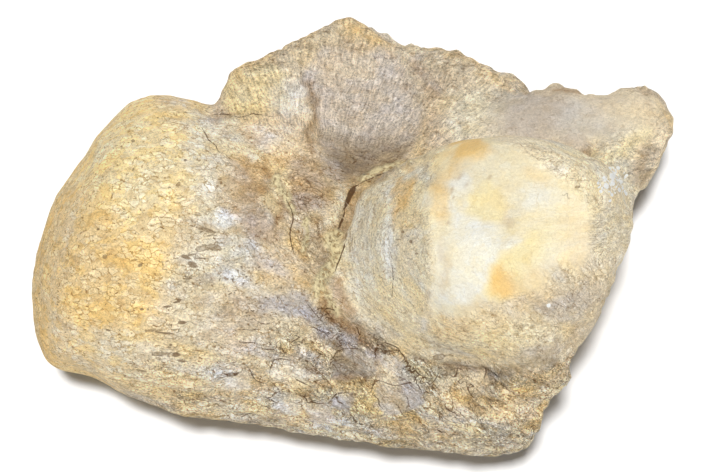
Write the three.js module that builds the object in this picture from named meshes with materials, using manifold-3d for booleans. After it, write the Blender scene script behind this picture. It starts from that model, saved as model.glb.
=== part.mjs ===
// Fossil mosasaur vertebra: one mineralised trunk vertebra, lying on its left side.
//
// Frame, in millimetres: +X to the animal's front (the hollow cotyle), -X to its back (the domed
// condyle), +Y dorsal (the neural arch) and +Z out of the bone's right side, which faces up. The bone
// rests on z = 0, on the worn side of the condyle, the stub of the left transverse process and the
// side of the cotyle's rim. The origin lies under the middle of the bounding box.

import * as THREE from "three";
import { mergeVertices } from "three/addons/utils/BufferGeometryUtils.js";
import Module from "manifold-3d";

const wasm = await Module();
wasm.setup();

// ---------------------------------------------------------------- driving dimensions

const MIDPLANE = 25; // height of the bone's plane of symmetry above the floor
const DOME_DEPTH = 12.2; // how far the condyle bulges behind its rim
const DOME_SAG = 1.4; // how far the dome's apex lies below the middle of its rim
const DISH_DEPTH = 8.5; // how deep the cotyle is hollowed inside its rim
const DISH_RADII = [21.8, 22.4]; // of the cotyle's hollow: dorsal to ventral, and across
const FRONT_EDGE = { low: [26.3, -34], high: [49.4, 18] }; // the front face, edge on
const CANAL = { y: 20.8, slope: -0.135, halfHeight: 4, halfWidth: 4.3 }; // at x = 0
const CENTRUM_SIDES = 56;
const PROCESS_SIDES = 44;

// Stations of the centrum from the condyle's rim to the cotyle: the lowest (ventral) and highest
// (dorsal) points of the section in the side view, and its half width across the bone.
const CENTRUM = [
  { ventral: [-43, -22.3], dorsal: [-27.6, 21.8], halfWidth: 24.4 },
  { ventral: [-38.8, -24], dorsal: [-24, 21], halfWidth: 25.4 },
  { ventral: [-32.6, -25.9], dorsal: [-19, 19], halfWidth: 24.8 },
  { ventral: [-25, -28], dorsal: [-12.5, 16], halfWidth: 23 },
  { ventral: [-17, -29.5], dorsal: [-5, 13.3], halfWidth: 21.2 },
  { ventral: [-7.7, -31.2], dorsal: [4.5, 11.3], halfWidth: 20.2 },
  { ventral: [1.6, -32.8], dorsal: [15, 10.4], halfWidth: 20.6 },
  { ventral: [11, -33.6], dorsal: [26, 10.4], halfWidth: 22.4 },
  { ventral: [20.3, -34], dorsal: [37, 11], halfWidth: 24.6 },
  { ventral: [29, -34], dorsal: [49, 12.5], halfWidth: 25.4 },
];

// Stations of the neural arch along the bone: the height of its broken top, and its half widths at
// the top and where it springs from the centrum. The wall steps in at the ridge behind the hollow.
const ARCH_BASE = 4;
const ARCH = [
  { x: -21, top: 21.5, halfTop: 7, halfBase: 12 },
  { x: -20, top: 24.4, halfTop: 8.5, halfBase: 14 },
  { x: -18.2, top: 26.6, halfTop: 9.5, halfBase: 16 },
  { x: -13.5, top: 28.6, halfTop: 9.5, halfBase: 17.5 },
  { x: -9.6, top: 30.2, halfTop: 8.5, halfBase: 17.5 },
  { x: -6.6, top: 31.8, halfTop: 7, halfBase: 16.5 },
  { x: -4.4, top: 32.8, halfTop: 5.5, halfBase: 14.6 },
  { x: -1, top: 34.3, halfTop: 4.5, halfBase: 13.8 },
  { x: 2, top: 32.6, halfTop: 4.5, halfBase: 13.4 },
  { x: 4.5, top: 31.8, halfTop: 4.8, halfBase: 13.4 },
  { x: 8, top: 29.6, halfTop: 5.2, halfBase: 13.8 },
  { x: 14.5, top: 29.3, halfTop: 6, halfBase: 14.8 },
  { x: 18.2, top: 27.8, halfTop: 6.5, halfBase: 15.5 },
  { x: 21, top: 25.7, halfTop: 7, halfBase: 16 },
  { x: 24.5, top: 24.6, halfTop: 7, halfBase: 16 },
  { x: 27.6, top: 22.4, halfTop: 7, halfBase: 16 },
  { x: 29, top: 20, halfTop: 7, halfBase: 16 },
];

// Stations of the right transverse process, upwards from inside the centrum: oval sections that
// lean towards the front edge and close over in a worn, rounded end.
const RIGHT_PROCESS = [
  { z: 30, centre: [18, -3], radii: [21, 15] },
  { z: 38, centre: [20.4, -2.6], radii: [23, 15.8] },
  { z: 44, centre: [21.4, -2.2], radii: [23.2, 16.2] },
  { z: 50, centre: [22.9, -1.5], radii: [20.6, 16.5] },
  { z: 54, centre: [23.4, -0.9], radii: [17.9, 16.1] },
  { z: 58, centre: [23.4, 0], radii: [14.4, 15] },
  { z: 60.8, centre: [23.2, 0.9], radii: [11.6, 13.4] },
  { z: 62.6, centre: [23.4, 1.4], radii: [8.6, 10.2] },
  { z: 63.4, centre: [23.4, 1.5], radii: [4.5, 5.4] },
];

// The left process broke off close to its root, and the bone rests on the break.
const LEFT_STUB = [
  { z: 18, centre: [17, -3], radii: [20, 15.5] },
  { z: 8, centre: [17.5, -3], radii: [17, 13.5] },
  { z: -4, centre: [18, -3], radii: [13.5, 11.5] },
];

// Stations of the strut to each front corner of the arch, which carried a joint with the vertebra in
// front: the lowest and highest points in the side view, and the distances from the midplane.
const STRUT = [
  { x: 6, low: 8, high: 18, near: 3, far: 8 },
  { x: 16, low: 4, high: 20, near: 3, far: 11.5 },
  { x: 24, low: 2, high: 21.2, near: 3.2, far: 14.6 },
  { x: 31, low: 2, high: 23.4, near: 3.6, far: 16.6 },
  { x: 37, low: 2, high: 21.7, near: 4, far: 17.2 },
  { x: 41.5, low: 3, high: 22.6, near: 4.4, far: 16.8 },
  { x: 45, low: 5, high: 23.7, near: 5, far: 15.8 },
  { x: 48.5, low: 7, high: 20.4, near: 5.6, far: 14.6 },
  { x: 52, low: 9, high: 16, near: 6.4, far: 13.4 },
];
const LEFT_STRUT_END = 49; // the left strut is broken off shorter than the right one

const BONE = new THREE.MeshStandardMaterial({ color: 0xd8c49c, roughness: 0.85, metalness: 0 });

// ---------------------------------------------------------------- making shapes

/** A closed body through rings of points, each ring in the same order, with a fan over each end. */
function loft(rings) {
  const sides = rings[0].length;
  const points = rings.flat();
  const middle = (ring) =>
    ring.reduce((sum, p) => sum.add(p), new THREE.Vector3()).divideScalar(ring.length);
  const first = points.push(middle(rings[0])) - 1;
  const last = points.push(middle(rings.at(-1))) - 1;
  const faces = [];
  for (let i = 0; i < sides; i++) {
    const j = (i + 1) % sides;
    for (let r = 0; r < rings.length - 1; r++) {
      const [a, b] = [r * sides, (r + 1) * sides];
      faces.push(a + i, a + j, b + j, a + i, b + j, b + i);
    }
    const end = (rings.length - 1) * sides;
    faces.push(first, j, i, last, end + i, end + j);
  }
  return new THREE.BufferGeometry().setFromPoints(points).setIndex(faces);
}

/** A closed three.js geometry as a solid, turned right side out if its rings ran the other way. */
function solid(geometry) {
  geometry.deleteAttribute("normal");
  geometry.deleteAttribute("uv");
  const merged = mergeVertices(geometry);
  const vertProperties = new Float32Array(merged.attributes.position.array);
  const build = (triVerts) =>
    new wasm.Manifold(new wasm.Mesh({ numProp: 3, vertProperties, triVerts }));
  const faces = new Uint32Array(merged.index.array);
  const made = build(faces);
  return made.volume() > 0 ? made : build(faces.slice().reverse());
}

/** Stations resampled along smooth curves: each curve reads a few of their values. */
function resample(stations, count, ...readers) {
  const curves = readers.map(
    (read) => new THREE.CatmullRomCurve3(stations.map((s) => new THREE.Vector3(...read(s)))),
  );
  return Array.from({ length: count + 1 }, (_, i) =>
    curves.map((curve) => curve.getPoint(i / count)),
  );
}

/** A point on a unit superellipse: power 2 is a circle, and more is squarer. */
function onSuperellipse(angle, power) {
  const bend = (value) => Math.sign(value) * Math.abs(value) ** (2 / power);
  return [bend(Math.cos(angle)), bend(Math.sin(angle))];
}

/** The points round a superellipse, each placed by a function of its two coordinates. */
function ringOf(sides, power, place) {
  return Array.from({ length: sides }, (_, i) =>
    place(...onSuperellipse((i / sides) * 2 * Math.PI, power)),
  );
}

// ---------------------------------------------------------------- the bone's parts

/** A section of the centrum, shrunk by share and moved back and down for the condyle's dome. */
function centrumRing(ventral, dorsal, share = 1, back = 0, down = 0) {
  const halfWidth = dorsal.z;
  const [low, high] = [ventral, dorsal].map(({ x, y }) => new THREE.Vector2(x, y));
  const up = high.clone().sub(low).normalize();
  const behind = new THREE.Vector2(-up.y, up.x);
  const halfHeight = low.distanceTo(high) / 2;
  const centre = low.add(high).multiplyScalar(0.5);
  centre.addScaledVector(behind, back).addScaledVector(up, -down);
  return ringOf(CENTRUM_SIDES, 2.25, (c, s) => {
    const p = centre.clone().addScaledVector(up, c * halfHeight * share);
    return new THREE.Vector3(p.x, p.y, MIDPLANE + s * halfWidth * share);
  });
}

/** The spool-shaped body with the condyle's dome on its back end. */
function centrum() {
  const stations = resample(
    CENTRUM,
    27,
    (s) => [...s.ventral, 0],
    (s) => [...s.dorsal, s.halfWidth],
  );
  const dome = [];
  for (let degrees = 85; degrees > 5; degrees -= 10) {
    const [across, out] = onSuperellipse(THREE.MathUtils.degToRad(degrees), 2.2);
    dome.push(centrumRing(...stations[0], across, out * DOME_DEPTH, out * DOME_SAG));
  }
  return solid(loft([...dome, ...stations.map((station) => centrumRing(...station))]));
}

/** Turns and moves a geometry from the origin to the front face, its +X out of the face. */
function ontoFrontFace(geometry, out) {
  const [low, high] = [FRONT_EDGE.low, FRONT_EDGE.high];
  const lean = Math.atan2(high[0] - low[0], high[1] - low[1]);
  const rim = CENTRUM.at(-1);
  const y = (rim.ventral[1] + rim.dorsal[1]) / 2;
  const x = low[0] + (y - low[1]) * Math.tan(lean);
  geometry.translate(out, 0, 0);
  geometry.rotateZ(-lean);
  geometry.translate(x, y, MIDPLANE);
  return geometry;
}

/** The hollow of the cotyle, which held the next vertebra's condyle. */
function dish() {
  const depth = DISH_DEPTH * 2;
  const geometry = new THREE.SphereGeometry(1, 48, 32);
  geometry.scale(depth, ...DISH_RADII.map((r) => r / Math.sqrt(0.75)));
  return solid(ontoFrontFace(geometry, depth - DISH_DEPTH));
}

/** Everything in front of the front face. */
function beyondFront() {
  return solid(ontoFrontFace(new THREE.BoxGeometry(60, 200, 200), 30));
}

/** Everything below the floor, so that the worn patches the bone rests on are flat. */
function underFloor() {
  const geometry = new THREE.BoxGeometry(200, 200, 40);
  geometry.translate(0, 0, -20);
  return solid(geometry);
}

/** The arch's walls and broken top: sections across the bone that flare towards the centrum. */
function arch() {
  const stations = resample(
    ARCH,
    40,
    ({ x, top }) => [x, top, 0],
    ({ halfTop, halfBase }) => [halfTop, halfBase, 0],
  );
  const rings = stations.map(([{ x, y: top }, { x: halfTop, y: halfBase }]) => {
    const wall = [0, 0.2, 0.4, 0.6, 0.8, 0.94].map((share) => [
      ARCH_BASE + (top - ARCH_BASE) * share,
      halfTop + (halfBase - halfTop) * (1 - share) ** 1.5,
    ]);
    const right = [...wall, [top, halfTop * 0.65]];
    const left = right.toReversed().map(([y, half]) => [y, -half]);
    return [...right, ...left].map(([y, half]) => new THREE.Vector3(x, y, MIDPLANE + half));
  });
  return solid(loft(rings));
}

function process(stations, count) {
  const rings = resample(
    stations,
    count,
    ({ z, centre }) => [...centre, z],
    ({ radii }) => [...radii, 0],
  ).map(([centre, radii]) =>
    ringOf(PROCESS_SIDES, 2.3, (c, s) =>
      new THREE.Vector3(c * radii.x, s * radii.y, 0).add(centre),
    ),
  );
  return solid(loft(rings));
}

/** A strut to a front corner of the arch, on the side (1 or -1) of the midplane. */
function strut(side, end = Infinity) {
  const rings = resample(
    STRUT.filter(({ x }) => x < end),
    20,
    ({ x, low, high }) => [x, (low + high) / 2, (high - low) / 2],
    ({ near, far }) => [(near + far) / 2, (far - near) / 2, 0],
  ).map(([{ x, y, z: halfHeight }, { x: out, y: halfThick }]) =>
    ringOf(24, 2.6, (c, s) =>
      new THREE.Vector3(x, y + c * halfHeight, MIDPLANE + side * (out + s * halfThick)),
    ),
  );
  return solid(loft(rings));
}

/** The canal for the spinal cord, running through the arch above the centrum. */
function canal() {
  const { y, slope, halfHeight, halfWidth } = CANAL;
  const rings = [-60, 60].map((x) =>
    ringOf(28, 2, (c, s) =>
      new THREE.Vector3(x, y + slope * x + halfHeight * c, MIDPLANE + halfWidth * s),
    ),
  );
  return solid(loft(rings));
}

function vertebra() {
  const joined = [
    arch(),
    process(RIGHT_PROCESS, 18),
    process(LEFT_STUB, 6),
    strut(1),
    strut(-1, LEFT_STRUT_END),
  ].reduce((body, piece) => body.add(piece), centrum());
  return [beyondFront(), dish(), canal(), underFloor()].reduce(
    (body, hollow) => body.subtract(hollow),
    joined,
  );
}

// ---------------------------------------------------------------- the model

/** A solid's triangles as a three.js geometry. */
function geometryOf(body) {
  const { numProp, numVert, vertProperties, triVerts } = body.getMesh();
  const positions = new Float32Array(numVert * 3);
  for (let i = 0; i < numVert; i++)
    positions.set(vertProperties.subarray(i * numProp, i * numProp + 3), i * 3);
  const geometry = new THREE.BufferGeometry();
  geometry.setAttribute("position", new THREE.BufferAttribute(positions, 3));
  geometry.setIndex(new THREE.BufferAttribute(triVerts, 1));
  geometry.computeVertexNormals();
  return geometry;
}

const bone = new THREE.Mesh(geometryOf(vertebra()), BONE);
bone.name = "vertebra";

const model = new THREE.Group();
model.name = "fossil_vertebra";
model.add(bone);

export default model;
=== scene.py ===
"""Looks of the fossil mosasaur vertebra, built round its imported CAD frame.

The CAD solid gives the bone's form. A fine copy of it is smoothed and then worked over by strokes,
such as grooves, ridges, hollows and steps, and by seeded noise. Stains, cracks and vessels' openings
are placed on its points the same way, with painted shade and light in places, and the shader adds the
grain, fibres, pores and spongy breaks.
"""

import functools
import math

import bpy
import numpy as np
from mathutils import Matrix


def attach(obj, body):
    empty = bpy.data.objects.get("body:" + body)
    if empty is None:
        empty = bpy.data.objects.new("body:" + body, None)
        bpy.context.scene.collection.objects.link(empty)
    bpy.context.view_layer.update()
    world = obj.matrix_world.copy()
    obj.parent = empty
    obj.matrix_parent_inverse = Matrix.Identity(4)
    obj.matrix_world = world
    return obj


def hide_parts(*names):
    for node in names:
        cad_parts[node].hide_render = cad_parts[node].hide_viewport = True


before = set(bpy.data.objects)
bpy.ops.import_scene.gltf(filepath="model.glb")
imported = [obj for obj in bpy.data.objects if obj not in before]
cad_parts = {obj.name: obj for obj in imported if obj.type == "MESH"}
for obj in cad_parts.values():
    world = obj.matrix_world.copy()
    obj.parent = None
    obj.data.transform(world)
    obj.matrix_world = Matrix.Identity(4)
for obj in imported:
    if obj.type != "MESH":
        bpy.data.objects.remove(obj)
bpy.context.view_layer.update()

MM = 0.001
VOXEL = 0.56  # size of the fine mesh's quads
MIDPLANE = 25  # height of the bone's plane of symmetry
PROCESS_AXIS = (21, -1)  # the right transverse process, seen from its end
PROCESS_FACE = 60  # above this height its worn end is planed flatter
FACE_RELIEF = 0.55  # what the planing leaves of the height above that
FRONT_POINT, FRONT_LEAN = (26.3, -34.0), math.radians(24.0)  # the front face, seen edge on
DISH_CENTRE, DISH_RADII = (36.6, -10.8), (21.8, 22.4)  # the cotyle's hollow in that face
DISH_DEPTH, RIM_HEIGHT = 1.6, 0.7  # how much the sculpting deepens it and raises its rim
SCULPT_SEED = 11
STAIN_SEED = 47


# ---- noise and curves


def smoothstep(low, high, value):
    """0 below low, 1 above high, and smooth between; low may be the greater."""
    t = np.clip((value - low) / (high - low), 0, 1)
    return t * t * (3 - 2 * t)


def tapered(along, share):
    """1 on the middle of a line, falling to 0 over a share of its length at each end."""
    return smoothstep(0, share, along) * smoothstep(1, 1 - share, along)


def lattice(cell, seed):
    """A fixed random value from -1 to 1 for each whole-numbered cell."""
    mixed = (cell[:, 0] * 73856093) ^ (cell[:, 1] * 19349663) ^ (cell[:, 2] * 83492791)
    mixed = (mixed ^ (seed * 2654435761)) & 0xFFFFFFFF
    mixed = ((mixed ^ (mixed >> 15)) * 2246822519) & 0xFFFFFFFF
    mixed = ((mixed ^ (mixed >> 13)) * 3266489917) & 0xFFFFFFFF
    return (mixed >> 16) / 32767.5 - 1


def noise(points, size, seed, octaves=1):
    """Smooth random values, mostly from -1 to 1, in lumps of about size, with finer octaves."""
    total = np.zeros(len(points))
    for octave in range(octaves):
        scaled = points / (size / 2**octave) + 31.7 * octave
        cell = np.floor(scaled).astype(np.int64)
        t = scaled - cell
        t = t * t * (3 - 2 * t)
        for corner in range(8):
            offset = np.array([corner & 1, corner >> 1 & 1, corner >> 2])
            weight = np.prod(np.where(offset, t, 1 - t), axis=1)
            total += weight * lattice(cell + offset, seed + octave) / 1.7**octave
    return total


def wander(points, size):
    """Three smooth random values a point."""
    return np.column_stack([noise(points, size, STAIN_SEED + i, 2) for i in (20, 24, 28)])


def warped(points, reach):
    """The points in plan, wandering a little, so that what is drawn on them has ragged edges."""
    return points[:, :2] + reach * (wander(points, 4) + 0.5 * wander(points, 1.5))[:, :2]


def curve(points, step=0.8):
    """A smooth line through given points, as an array of points about step apart."""
    p = np.array([points[0], *points, points[-1]], float)
    line = [p[1]]
    for a, b, c, d in zip(p, p[1:], p[2:], p[3:]):
        count = max(1, int(np.linalg.norm(c - b) / step))
        for t in np.arange(1, count + 1) / count:
            bend = (c - a) * t + (2 * a - 5 * b + 4 * c - d) * t**2 + (3 * b - a - 3 * c + d) * t**3
            line.append(b + bend / 2)
    return np.array(line)


def near_line(plan, line, reach):
    """The points within reach of a line: their indices, their distance from it, positive on its left,
    and their share of the way along it."""
    low, high = line.min(0) - reach, line.max(0) + reach
    index = np.flatnonzero(((plan > low) & (plan < high)).all(axis=1))
    here = plan[index]
    distance = np.full(len(index), np.inf)
    along = np.zeros(len(index))
    for i, (a, b) in enumerate(zip(line[:-1], line[1:])):
        ab = b - a
        ap = here - a
        t = np.clip(ap @ ab / (ab @ ab), 0, 1)
        gap = np.hypot(*(ap - t[:, None] * ab).T)
        left = np.where(ab[0] * ap[:, 1] > ab[1] * ap[:, 0], 1, -1)
        closer = gap < np.abs(distance)
        distance = np.where(closer, gap * left, distance)
        along = np.where(closer, (i + t) / (len(line) - 1), along)
    return index, distance, along


def inside(plan, outline, soft):
    """1 inside a smooth closed outline through given points and 0 outside it, with a soft edge."""
    loop = curve([*outline, outline[0]])
    index, distance, _ = near_line(plan, loop, 2 * soft)
    x, y = plan.T
    within = np.zeros(len(plan), bool)
    for (x0, y0), (x1, y1) in zip(loop[:-1], loop[1:]):
        if y0 != y1:
            within ^= ((y0 > y) != (y1 > y)) & (x < x0 + (x1 - x0) * (y - y0) / (y1 - y0))
    depth = np.full(len(plan), 2.0 * soft)
    depth[index] = np.minimum(np.abs(distance), 2 * soft)
    return smoothstep(-soft, soft, np.where(within, depth, -depth))


def place_in_oval(plan, centre, radii, turn):
    """The points' places along and across an oval, in its radii; turn is in degrees."""
    c, s = math.cos(math.radians(turn)), math.sin(math.radians(turn))
    x, y = (plan - centre).T
    return np.column_stack([(c * x + s * y) / radii[0], (c * y - s * x) / radii[1]])


def oval(plan, centre, radii, turn=0, soft=0.4):
    """1 inside an oval and 0 outside it, with a soft edge."""
    return smoothstep(1 + soft, 1 - soft, np.hypot(*place_in_oval(plan, centre, radii, turn).T))


# ---- the fine mesh


def read(items, name, width, kind=float):
    """One attribute of a mesh's parts, with width values a part."""
    values = np.empty(len(items) * width, kind)
    items.foreach_get(name, values)
    return values.reshape(-1, width)


class Skin:
    """The bone's surface as arrays: its points, how they join, and which way they face."""

    def __init__(self, mesh):
        self.mesh = mesh
        self.points = read(mesh.vertices, "co", 3) / MM
        self.edges = read(mesh.edges, "vertices", 2, np.int32)
        self.count = len(self.points)
        self.refresh()

    def refresh(self):
        """Writes the points to the mesh and reads back their normals."""
        self.mesh.vertices.foreach_set("co", (self.points * MM).ravel())
        self.mesh.update()
        self.normals = read(self.mesh.vertex_normals, "vector", 3)

    def neighbours_mean(self, values):
        """The mean of the values at the points that each point is joined to."""
        a, b = self.edges.T
        total = np.bincount(a, values[b], self.count) + np.bincount(b, values[a], self.count)
        return total / (np.bincount(a, minlength=self.count) + np.bincount(b, minlength=self.count))

    def smooth(self, rounds, strength=0.5):
        """Moves each point towards its neighbours' mean; strength may differ from point to point."""
        for _ in range(rounds):
            mean = np.column_stack([self.neighbours_mean(axis) for axis in self.points.T])
            self.points += np.multiply((mean - self.points).T, strength).T
        self.refresh()

    def hollowness(self, rounds):
        """How far each point lies below the ground around it, in millimetres, negative on a bump."""
        wide = self.points.T.copy()
        for _ in range(rounds):
            wide = np.array([self.neighbours_mean(axis) for axis in wide])
        return ((wide.T - self.points) * self.normals).sum(axis=1)

    def press(self, amount):
        """Raises the surface along its normals by amount, or presses it in where that is negative."""
        self.points += self.normals * amount[:, None]

    def store(self, name, values, kind="FLOAT", field="value"):
        """Stores one value a point on the mesh, for the shader to read."""
        layer = self.mesh.attributes.new(name, kind, "POINT")
        layer.data.foreach_set(field, values.astype(np.float32).ravel())


def add_object(name, data):
    """A new object in the scene."""
    made = bpy.data.objects.new(name, data)
    bpy.context.collection.objects.link(made)
    return made


def fine_copy(node):
    """A new object with the CAD node's form in even quads."""
    rough = add_object("rough", node.data.copy())
    remesh = rough.modifiers.new("remesh", "REMESH")
    remesh.mode = "VOXEL"
    remesh.voxel_size = VOXEL * MM
    graph = bpy.context.evaluated_depsgraph_get()
    mesh = bpy.data.meshes.new_from_object(rough.evaluated_get(graph))
    bpy.data.objects.remove(rough)
    mesh.materials.clear()
    mesh.shade_smooth()
    return add_object("fossil_bone", mesh)


# ---- where things are on the bone

# Outlines seen from above, round the worn end of the process and the hollowed side of the arch.
WORN_END = [
    (10.2, 5.9), (11.4, 9.5), (12.5, 12.4), (14.6, 14.6), (18.7, 15.2), (21.9, 13.9), (24.9, 12.6),
    (28.4, 10), (31, 8.2), (33.4, 6), (34.4, 2.6), (34.5, -1.7), (33.1, -4), (30.1, -5.8),
    (27.8, -7.6), (24.3, -9.2), (19, -10.8), (13.1, -12), (11.1, -11.1), (11.7, -6.4), (11.2, 1),
]
ARCH_FACE = [
    (-6.2, 20.5), (-8.2, 24.8), (-4.5, 28.4), (1.5, 28.6), (6.2, 27.6), (9.6, 22.5), (10.6, 17.4),
    (9.4, 13.6), (5, 10.8), (0.2, 9.6), (-3.4, 11.4), (-5.6, 15.2),
]

# Plates of outer bone left standing on the broken lower side: colour, strength, outline.
PLATES = [
    ("blue grey", 0.85, [(-3.4, -19.4), (-2.7, -17.4), (-0.6, -16.8), (1.6, -17), (3.1, -18.6), (2.9, -21),
        (0.6, -21.7), (-2.2, -21.5)]),
    ("pale lavender", 0.85, [(3.3, -18.6), (3.4, -16.8), (6.2, -17.6), (8.2, -19.6), (9.2, -21.8),
        (5.6, -22.4), (3.2, -21.6)]),
    ("slate", 0.95, [(2.4, -23.6), (3.2, -21.8), (6, -22.4), (9.2, -22), (10.4, -24), (9.2, -26.2),
        (6.6, -27.4), (3.4, -26.6)]),
    ("white", 0.7, [(12, -22), (12.8, -20.6), (15, -20.8), (15.6, -22.6), (13.6, -23.8)]),
    ("pale lavender", 0.85, [(15.4, -21.6), (15.8, -19.4), (18, -19.4), (20.4, -20.4), (20.2, -22.6),
        (17.4, -23.8)]),
    ("slate", 0.9, [(-3.6, -25.4), (-3, -24), (-1, -23.9), (0.2, -24.8), (-0.4, -26.3), (-2.6, -26.4)]),
    ("pale lavender", 0.6, [(-7, -25.4), (-4.2, -25.6), (-2.6, -27.2), (-3.2, -29), (-5.8, -28.8)]),
    ("white", 0.9, [(-1.8, -28), (0, -27.7), (0.8, -28.8), (-0.1, -30.2), (-1.7, -29.8)]),
    ("white", 0.7, [(-13, -25), (-12, -23.8), (-10, -23.6), (-7.2, -24.7), (-8, -26.6), (-11.4, -26.4)]),
    ("white", 0.6, [(-12.8, -20.6), (-12.2, -18.6), (-9.4, -18.8), (-6.6, -20.6), (-7.4, -23.2),
        (-10.6, -22.6)]),
    ("white", 0.5, [(-20.8, -21.4), (-17.6, -21), (-15.2, -22.2), (-16.4, -23.8), (-19.8, -23.4)]),
]


def facing_up(skin):
    """1 on the right side of the bone, which faces up, and 0 on the rest."""
    above_middle = smoothstep(MIDPLANE - 5, MIDPLANE + 2, skin.points[:, 2])
    return smoothstep(-0.2, 0.3, skin.normals[:, 2]) * above_middle


def behind_front(points):
    """How far points lie behind the front face."""
    x, y = (points[:, :2] - FRONT_POINT).T
    return y * math.sin(FRONT_LEAN) - x * math.cos(FRONT_LEAN)


def dish_radius(points):
    """Distance from the middle of the cotyle's hollow, seen from the front; 1 at its edge."""
    x, y = (points[:, :2] - DISH_CENTRE).T
    up_face = x * math.sin(FRONT_LEAN) + y * math.cos(FRONT_LEAN)
    return np.hypot(up_face / DISH_RADII[0], (points[:, 2] - MIDPLANE) / DISH_RADII[1])


def plate_plan(points):
    """The points in plan, moved so that what is drawn there has a plate's jagged edges."""
    return warped(points, 0.8) + 0.6 * wander(points, 1.2)[:, :2]


def plates_mask(points):
    """Where plates of outer bone still stand on the broken lower side."""
    plan = plate_plan(points)
    return np.max([inside(plan, outline, 0.3) for _, _, outline in PLATES], axis=0)


class Places:
    """Masks from 0 to 1 for the bone's regions, on all its sides."""

    def __init__(self, skin):
        x, y, z = skin.points.T
        shift = noise(skin.points, 5, STAIN_SEED, 2)
        ragged = skin.points[:, :2] + 0.8 * np.column_stack([shift, -shift])
        condyle_edge = 0.17 * y - 25.5 - 0.008 * np.minimum(y - 5, 0) ** 2
        arch_foot = 14 - 0.12 * x + 0.004 * np.minimum(x, 0) ** 2
        self.up = facing_up(skin)
        self.condyle = smoothstep(3, -3, x - condyle_edge + 1.5 * shift)
        self.process = smoothstep(43, 46, z) * oval(ragged, (20.5, -2.5), (24.5, 17.5), 0, 0.08)
        self.process_end = smoothstep(50, 53, z) * inside(ragged, WORN_END, 1)
        self.slope = self.process * smoothstep(29, 33, x - 0.45 * y - 2.5) * (1 - self.process_end)
        self.arch = smoothstep(-2, 1, y - arch_foot + 0.5 * shift) * (1 - self.condyle)
        self.arch_face = self.up * inside(ragged, ARCH_FACE, 0.8)
        self.break_top = self.arch * smoothstep(0.25, 0.6, skin.normals[:, 1]) * smoothstep(19, 22, y)
        self.trough = self.up * oval(ragged, (33.5, 18.4), (14, 4.8), 5, 0.3)
        in_body = smoothstep(-42, -20, x) * (1 - self.process)
        self.low = self.up * smoothstep(-10, -18, y - 0.2 * (x + 5)) * in_body
        self.plates = self.up * (1 - self.process) * plates_mask(skin.points)
        self.smooth = np.maximum(self.process_end, 0.8 * self.trough)
        self.stub = smoothstep(6, 3, z) * oval(ragged, (17.5, -3), (16, 14), 0, 0.2)
        self.dish_radius = dish_radius(skin.points)
        in_front = smoothstep(11, 9, behind_front(skin.points))
        self.cotyle = in_front * smoothstep(1.04, 0.97, self.dish_radius)
        self.front_rim = in_front * np.exp(-(((self.dish_radius - 1.03) / 0.07) ** 2))

    def level(self, default, **values):
        """A value for each point: the default, or its region's own, the later over the earlier."""
        field = np.full(len(self.up), float(default))
        for region, value in values.items():
            field += (value - field) * getattr(self, region)
        return field


# ---- sculpting

# Hollows and swellings: centre, radii, turn in degrees, height.
SWELLINGS = [
    ((2, 20), (10, 8.5), 0, -1.6),  # the arch's hollowed side
    ((11.5, 19), (4, 6), 20, 0.5),  # the brown swelling in front of it
    ((-14, 16.5), (6.5, 8), 0, 0.7),  # the thick back of the arch
    ((-1.1, 31.3), (1.3, 1.1), 0, -0.8),  # a pit under the arch's peak
    ((30, 18.2), (10, 4.5), 4, -1.8),  # the trough beside the front strut
    ((34.2, 13.4), (3.2, 1.6), -20, -1),  # the pit at the trough's foot
    ((35.4, 13), (1.2, 0.8), 0, -1.4),
    ((17, 11.5), (4, 2.6), 20, -0.5),  # hollows and swellings of the worn process end
    ((23, -8), (2.6, 2.6), -30, -0.7),
    ((33.2, -0.5), (1.4, 3.6), 0, -0.4),
    ((22.3, 3.2), (1.2, 2), -20, -0.7),
    ((16, -5), (4, 6.5), 0, 0.35),
    ((26, 5), (5, 4), 30, 0.3),
    ((-19.5, -8), (5, 4), -20, 0.4),  # the white swelling on the waist
    ((-13, 3.5), (4, 6), 10, -0.6),  # the brown hollow in front of it
    ((-2, -16.2), (3, 2), -30, -0.6),  # the dark hollow below the process
    ((-11.5, -22.5), (4.5, 2.6), -10, 0.5),  # lumps low on the body
    ((-1.5, -28.5), (2.4, 1.5), 0, 0.4),
    ((6.3, -20.5), (4, 3.5), -40, 0.5),
    ((-36, 16.5), (4, 3), 45, -0.4),  # the flattened shoulder of the condyle
    ((-39.5, 14.5), (2, 2), 0, 0.6),
    ((27, -19), (5.5, 3.6), 12, 2.6),  # the strut's foot, where the slope runs out
]

# Where the bone's outline is fuller or flatter on all its sides, in the same terms.
FULLNESS = [
    ((-48, 3), (4, 8), -14, 0.7),
    ((-30, 22.5), (7, 3), 0, 0.5),
    ((-42, 12), (4, 4), 55, -0.8),
    ((-41.5, -23), (4, 3), -40, -1.2),
    ((34.4, -20), (3, 5), 24, -1.5),
    ((29, -26.4), (3, 4.5), 24, -1.1),
    ((43.4, 4.4), (3, 6), 24, -1.4),
    ((-5, -32), (24, 3.5), 0, -0.9),
    ((-12.5, 30), (5, 3), 25, -0.8),
]

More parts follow.
